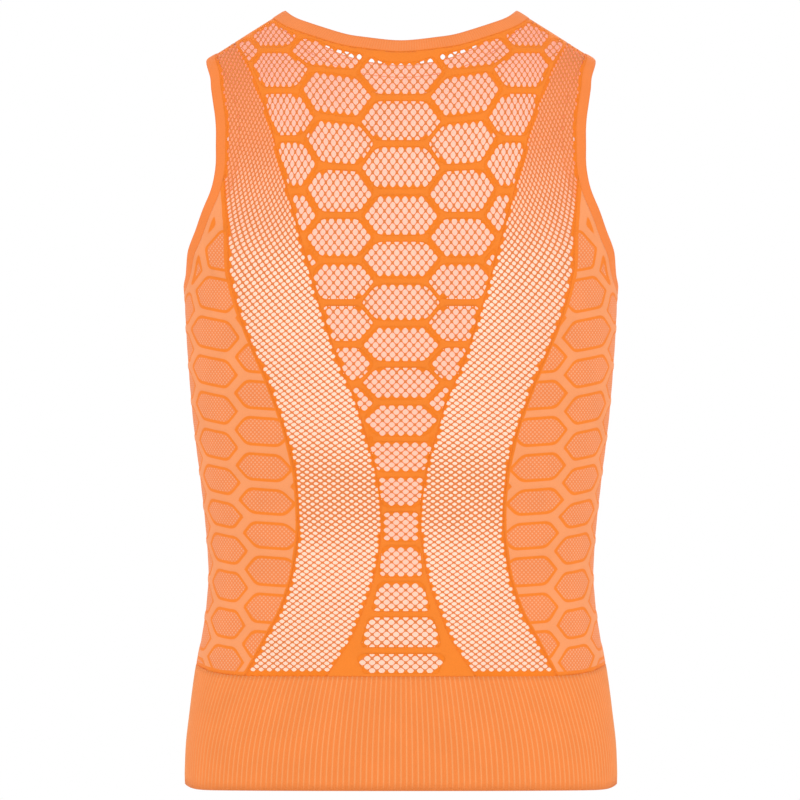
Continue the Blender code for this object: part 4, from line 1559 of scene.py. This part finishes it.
# %% [markdown]
# The band is a closed grid: each column starts at the hem's edge and ends at the hem line. At the
# hem the wales of the back are spread a little further towards the flanks than at the top.

# %% The hem band
HEM_WALES, HEM_DETAIL, HEM_ROWS, GIRTH_SAMPLES = 226, 8, 16, 1441
WALE_FAN, FAN_BEND = 0.023, 1.8  # how far the back's wales spread at the hem, as a share of the girth
CROWDING = 0.9  # below 1 the rows are closer together at the top
WALE_PITCH = 4.1  # from one wale to the next in the flat knit
EDGE_CLEAR, EDGE_RUN, EDGE_ROUND, EDGE_LIFT = 1.0, 2.5, 3.0, 0.5  # the edge is plain, then ribbed


def turns_at(shares, height):
    """The turns at these shares of the girth at a height."""
    turns = np.linspace(0, 2 * np.pi, GIRTH_SAMPLES)
    length = run_length(on_ring(turns, height))
    return np.interp(shares * length[-1], length, turns)


def make_hem():
    columns = HEM_WALES * HEM_DETAIL
    even = np.arange(columns) / columns
    rows, feet = [], []
    for share in np.linspace(0, 1, HEM_ROWS + 1) ** CROWDING:
        fan = WALE_FAN * (1 - share**FAN_BEND) * np.sin(2 * np.pi * even)
        turn = turns_at(even + fan, HEM_BAND_AT_CENTRE * share)
        top = hem_height(lambda _: turn, columns, -SEAM_GAP)
        foot = HEM_EDGE_RISE * (on_ring(turn, 0.0)[:, 0] / RINGS[0, 1]) ** HEM_EDGE_POWER
        rows.append(on_ring(turn, foot + share * (top - foot)))
        feet.append(foot)
    points = np.array(rows)
    phase = np.broadcast_to(even * HEM_WALES, points.shape[:2])
    height = points[..., 2]
    above_edge = height - np.array(feet)
    values = {
        "phase": phase,
        "ribbed": np.clip((above_edge - EDGE_CLEAR) / EDGE_RUN, 0, 1),
        "rise": round_shoulder(above_edge, EDGE_ROUND) * EDGE_LIFT,
        "border": hem_line(points[..., 0]) - height,
        "knit": knit_place(phase * WALE_PITCH, height),
    }
    return grid_piece("hem_band_cloth", points, values, RIBS_TREE, closed=True,
                      material=HEM_CLOTH, wall=1.3 * MM, depth=0.3 * MM, sharpness=9.0)  # fmt: skip


hem_band = make_hem()

# %% [markdown]
# The bindings of neck and armholes are strips folded over the edge, so their section is a flat
# oval. The neckband is a fine rib in a lighter coral and the armholes are smooth.

# %% The bindings
BAND_STEPS = 10
BINDING_ROUND = 0.25  # the share of its width over which a binding rounds off
RIB_RISE, RIB_START = 8, 0.5  # its ribs start a little way in from either edge
BINDINGS = {  # free edge, seam, points for each one of the loop, wales, cloth, reverse's painted bounce light
    "neck": (neck_edge, neck_seam, 8, 272, NECK_CLOTH, "rosy"),
    "armhole": (armhole_edge, armhole_seam, 2, 0, ARMHOLE_CLOTH, "warm"),
}


def make_binding(name, opening, sign=1):
    """A closed strip from a little inside the seam out to the free edge."""
    free, seam, times, wales, cloth, reverse = BINDINGS[opening]
    free, seam = (settle(recut(loop, times), rounds=4) for loop in (free, seam))
    share = np.linspace(SEAM_GAP / ARMHOLE_BAND_WIDTH, 1, BAND_STEPS + 1)[:, None]
    points = settle(seam + (free - seam) * share[..., None], rounds=6)
    grid, columns = points.shape[:2], points.shape[1]
    share = np.broadcast_to(share, grid)
    across = share * ARMHOLE_BAND_WIDTH
    values = {
        "phase": np.broadcast_to(np.arange(columns) * wales / columns, grid),
        "ribbed": np.clip(np.minimum(share, 1 - share) * RIB_RISE - RIB_START, 0, 1),
        "rise": round_shoulder(1 - share, BINDING_ROUND),
        "border": across,
        "knit": knit_place(run_length(seam), across),
        # The whole binding takes that painted bounce light on its lining side.
        reverse: np.ones(grid),
    }
    return grid_piece(name, points * [sign, 1, 1], values, RIBS_TREE, closed=True,
                      material=cloth, wall=1.1 * MM, depth=0.2 * MM, sharpness=2.0)  # fmt: skip


neckband = make_binding("neckband_cloth", "neck")
armhole_bands = {
    side: make_binding(f"armhole_{side}_cloth", "armhole", sign) for side, sign in SIDES.items()
}

# %% [markdown]
# The camera looks straight at the back from very far away with a long lens, so that nothing is
# foreshortened. Most of the light is an even pale surround. Two large soft lamps beside the camera
# give the ribs their relief, and three more light the flanks and the far side. Two small lamps inside
# the garment light the back of the front panel, or the net would show a dark hollow.

# %% Camera and lamps
VIEW_DISTANCE, VIEW_WIDTH = 28.0, 0.6684
SENSOR_WIDTH, FAR_ENOUGH = 36.0, 100.0
MIDDLE = (-0.0008, 0.0, -0.3246)
LAMPS = [  # name, place, what it points at, diameter or sides, power
    ("key", (-1.6, -2.6, 1.3), MIDDLE, 2.0, 17), ("fill", (2.2, -2.4, 0.2), MIDDLE, 2.0, 12),
    ("left side", (-3.0, -0.4, 0.0), MIDDLE, 2.0, 8), ("right side", (3.0, -0.4, 0.0), MIDDLE, 2.0, 8),
    ("far side", (0.4, 3.0, 1.2), MIDDLE, 2.0, 16),
    ("inside", (0.0, 0.02, -0.35), (0.0, 0.1, -0.35), (0.26, 0.5), 0.26),
    ("inside top", (0.0, -0.02, -0.16), (0.0, 0.02, 0.0), (0.16, 0.05), 0.04),
]  # fmt: skip

camera = bpy.data.objects.new("camera", bpy.data.cameras.new("camera"))
camera.data.sensor_width = SENSOR_WIDTH
camera.data.lens = SENSOR_WIDTH * VIEW_DISTANCE / VIEW_WIDTH
camera.data.clip_end = FAR_ENOUGH
camera.location = (MIDDLE[0], -VIEW_DISTANCE, MIDDLE[2])
camera.rotation_euler = (math.pi / 2, 0, 0)
bpy.context.scene.collection.objects.link(camera)
bpy.context.scene.camera = camera


def soft_light(name, place, aim, size, energy):
    """A round lamp, or a rectangle where size is a pair."""
    light = bpy.data.lights.new(name, "AREA")
    light.energy = energy
    if isinstance(size, tuple):
        light.shape, light.size, light.size_y = "RECTANGLE", *size
    else:
        light.shape, light.size = "DISK", size
    holder = bpy.data.objects.new(name, light)
    holder.location = place
    holder.rotation_euler = (Vector(aim) - Vector(place)).to_track_quat("-Z", "Y").to_euler()
    holder.visible_camera = False
    bpy.context.scene.collection.objects.link(holder)


for lamp in LAMPS:
    soft_light(*lamp)
print(len(LAMPS), "lamps of", sum(lamp[-1] for lamp in LAMPS), "W, and a lens of",
      round(camera.data.lens), "mm")  # fmt: skip

# %% [markdown]
# The background is white only to rays from the camera, a gloss or a glass, so it adds no light of
# its own. A pale floor far below the hem gives the underside its light back.

# %% Surround and floor
FLOOR_HEIGHT, FLOOR_REACH, SURROUND_LIGHT = -1.55, 4.0, 0.785
SURROUND, BEHIND, FLOOR_GREY = (1.0, 0.985, 0.975, 1), (1.0, 1.0, 1.0, 1), (0.86, 0.86, 0.86, 1)


def white_to_camera(graph, lit, seen):
    """Mixes two shaders: one lights the scene, the other is what the camera and gloss see."""
    path = graph.node("ShaderNodeLightPath")
    names = ("Is Camera Ray", "Is Glossy Ray", "Is Transmission Ray")
    direct, gloss, glass = (Value(graph, path.outputs[name]) for name in names)
    share = graph.math("MAXIMUM", direct, graph.math("MAXIMUM", gloss, glass))
    return graph.add("ShaderNodeMixShader", [share, lit, seen])


world = bpy.data.worlds.new("studio")
world.use_nodes = True
world.node_tree.nodes.clear()
graph = Graph(world.node_tree)
surround = graph.add("ShaderNodeBackground", {"Color": SURROUND, "Strength": SURROUND_LIGHT})
seen = graph.add("ShaderNodeBackground", {"Color": BEHIND, "Strength": 1.0})
graph.node("ShaderNodeOutputWorld", {"Surface": white_to_camera(graph, surround, seen)})
bpy.context.scene.world = world

floor_mesh = bpy.data.meshes.new("floor")
corners = [(x * FLOOR_REACH, y * FLOOR_REACH, FLOOR_HEIGHT) for x, y in ((-1, -1), (1, -1), (1, 1), (-1, 1))]
floor_mesh.from_pydata(corners, [], [(0, 1, 2, 3)])
floor = bpy.data.objects.new("floor", floor_mesh)
bpy.context.scene.collection.objects.link(floor)
floor_paint, graph = start_cloth("floor")
shader = graph.add("ShaderNodeBsdfPrincipled", {"Base Color": FLOOR_GREY, "Roughness": 0.9})
graph.node("ShaderNodeOutputMaterial", {"Surface": shader})
floor_mesh.materials.append(floor_paint)
bpy.context.scene.view_settings.view_transform = "Standard"
print("the floor is", round(-FLOOR_HEIGHT - BODY_LENGTH * MM, 2), "m below the hem")

# %% [markdown]
# Last, a table gives each piece's CAD node, the slot of the record its finish belongs to, and the flat
# size that its cloth was cut or knitted to. Each piece hangs from one root, its CAD part is hidden, and
# its flat size and its reach past that part are printed.

# %% What each piece is
KNIT_EASE = 0.88  # the knit's own width, as a share of its width when it is worn

# piece, node, slot, width, length, whether it is cut to a shape, what it rests on
CLOTHS = [
    (centre_back, "back_centre", "honeycomb_mesh", 0.3, 0.575, True, ["neckband", "hem_band"]),
    *[(mesh_bands[side], f"back_mesh_{side}", "open_mesh", 0.14, 0.55, True, ["front_panel", "back_centre"])
      for side in SIDES],
    *[(sides[side], f"side_{side}", "ridged_knit", 0.24, 0.42, True, [f"back_mesh_{side}", "front_panel"])
      for side in SIDES],
    (front_panel, "front_panel", "open_mesh", 0.338, 0.575, True, ["neckband", "hem_band"]),
    (neckband, "neckband", "rib", 0.61, 0.012, False, ["back_centre", "front_panel"]),
    *[(armhole_bands[side], f"armhole_band_{side}", "binding", 0.59, 0.01, False,
       [f"side_{side}", f"back_mesh_{side}"]) for side in SIDES],
    (hem_band, "hem_band", "rib", 0.93, 0.096, False, ["side_left", "side_right"]),
]  # fmt: skip

for piece, node, slot, width, length, shaped, joined_to in CLOTHS:
    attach(piece, "root")
    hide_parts(node)
    flat = (KNIT_EASE * width, length)
    share = KNIT_EASE * cloth_area(piece) / flat[0] / flat[1]
    print(f"{piece.name}: cut {flat[0]:.3f} x {flat[1]:.3f} m, and its cloth is {share:.2f} of that")
    low, high = (np.array(corner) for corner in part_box(node))
    corners = np.array([v.co for v in piece.data.vertices])
    beyond = max(np.max(low - corners.min(axis=0)), np.max(corners.max(axis=0) - high))
    print(f"{piece.name} reaches {beyond * 1000:.1f} mm past {node}")
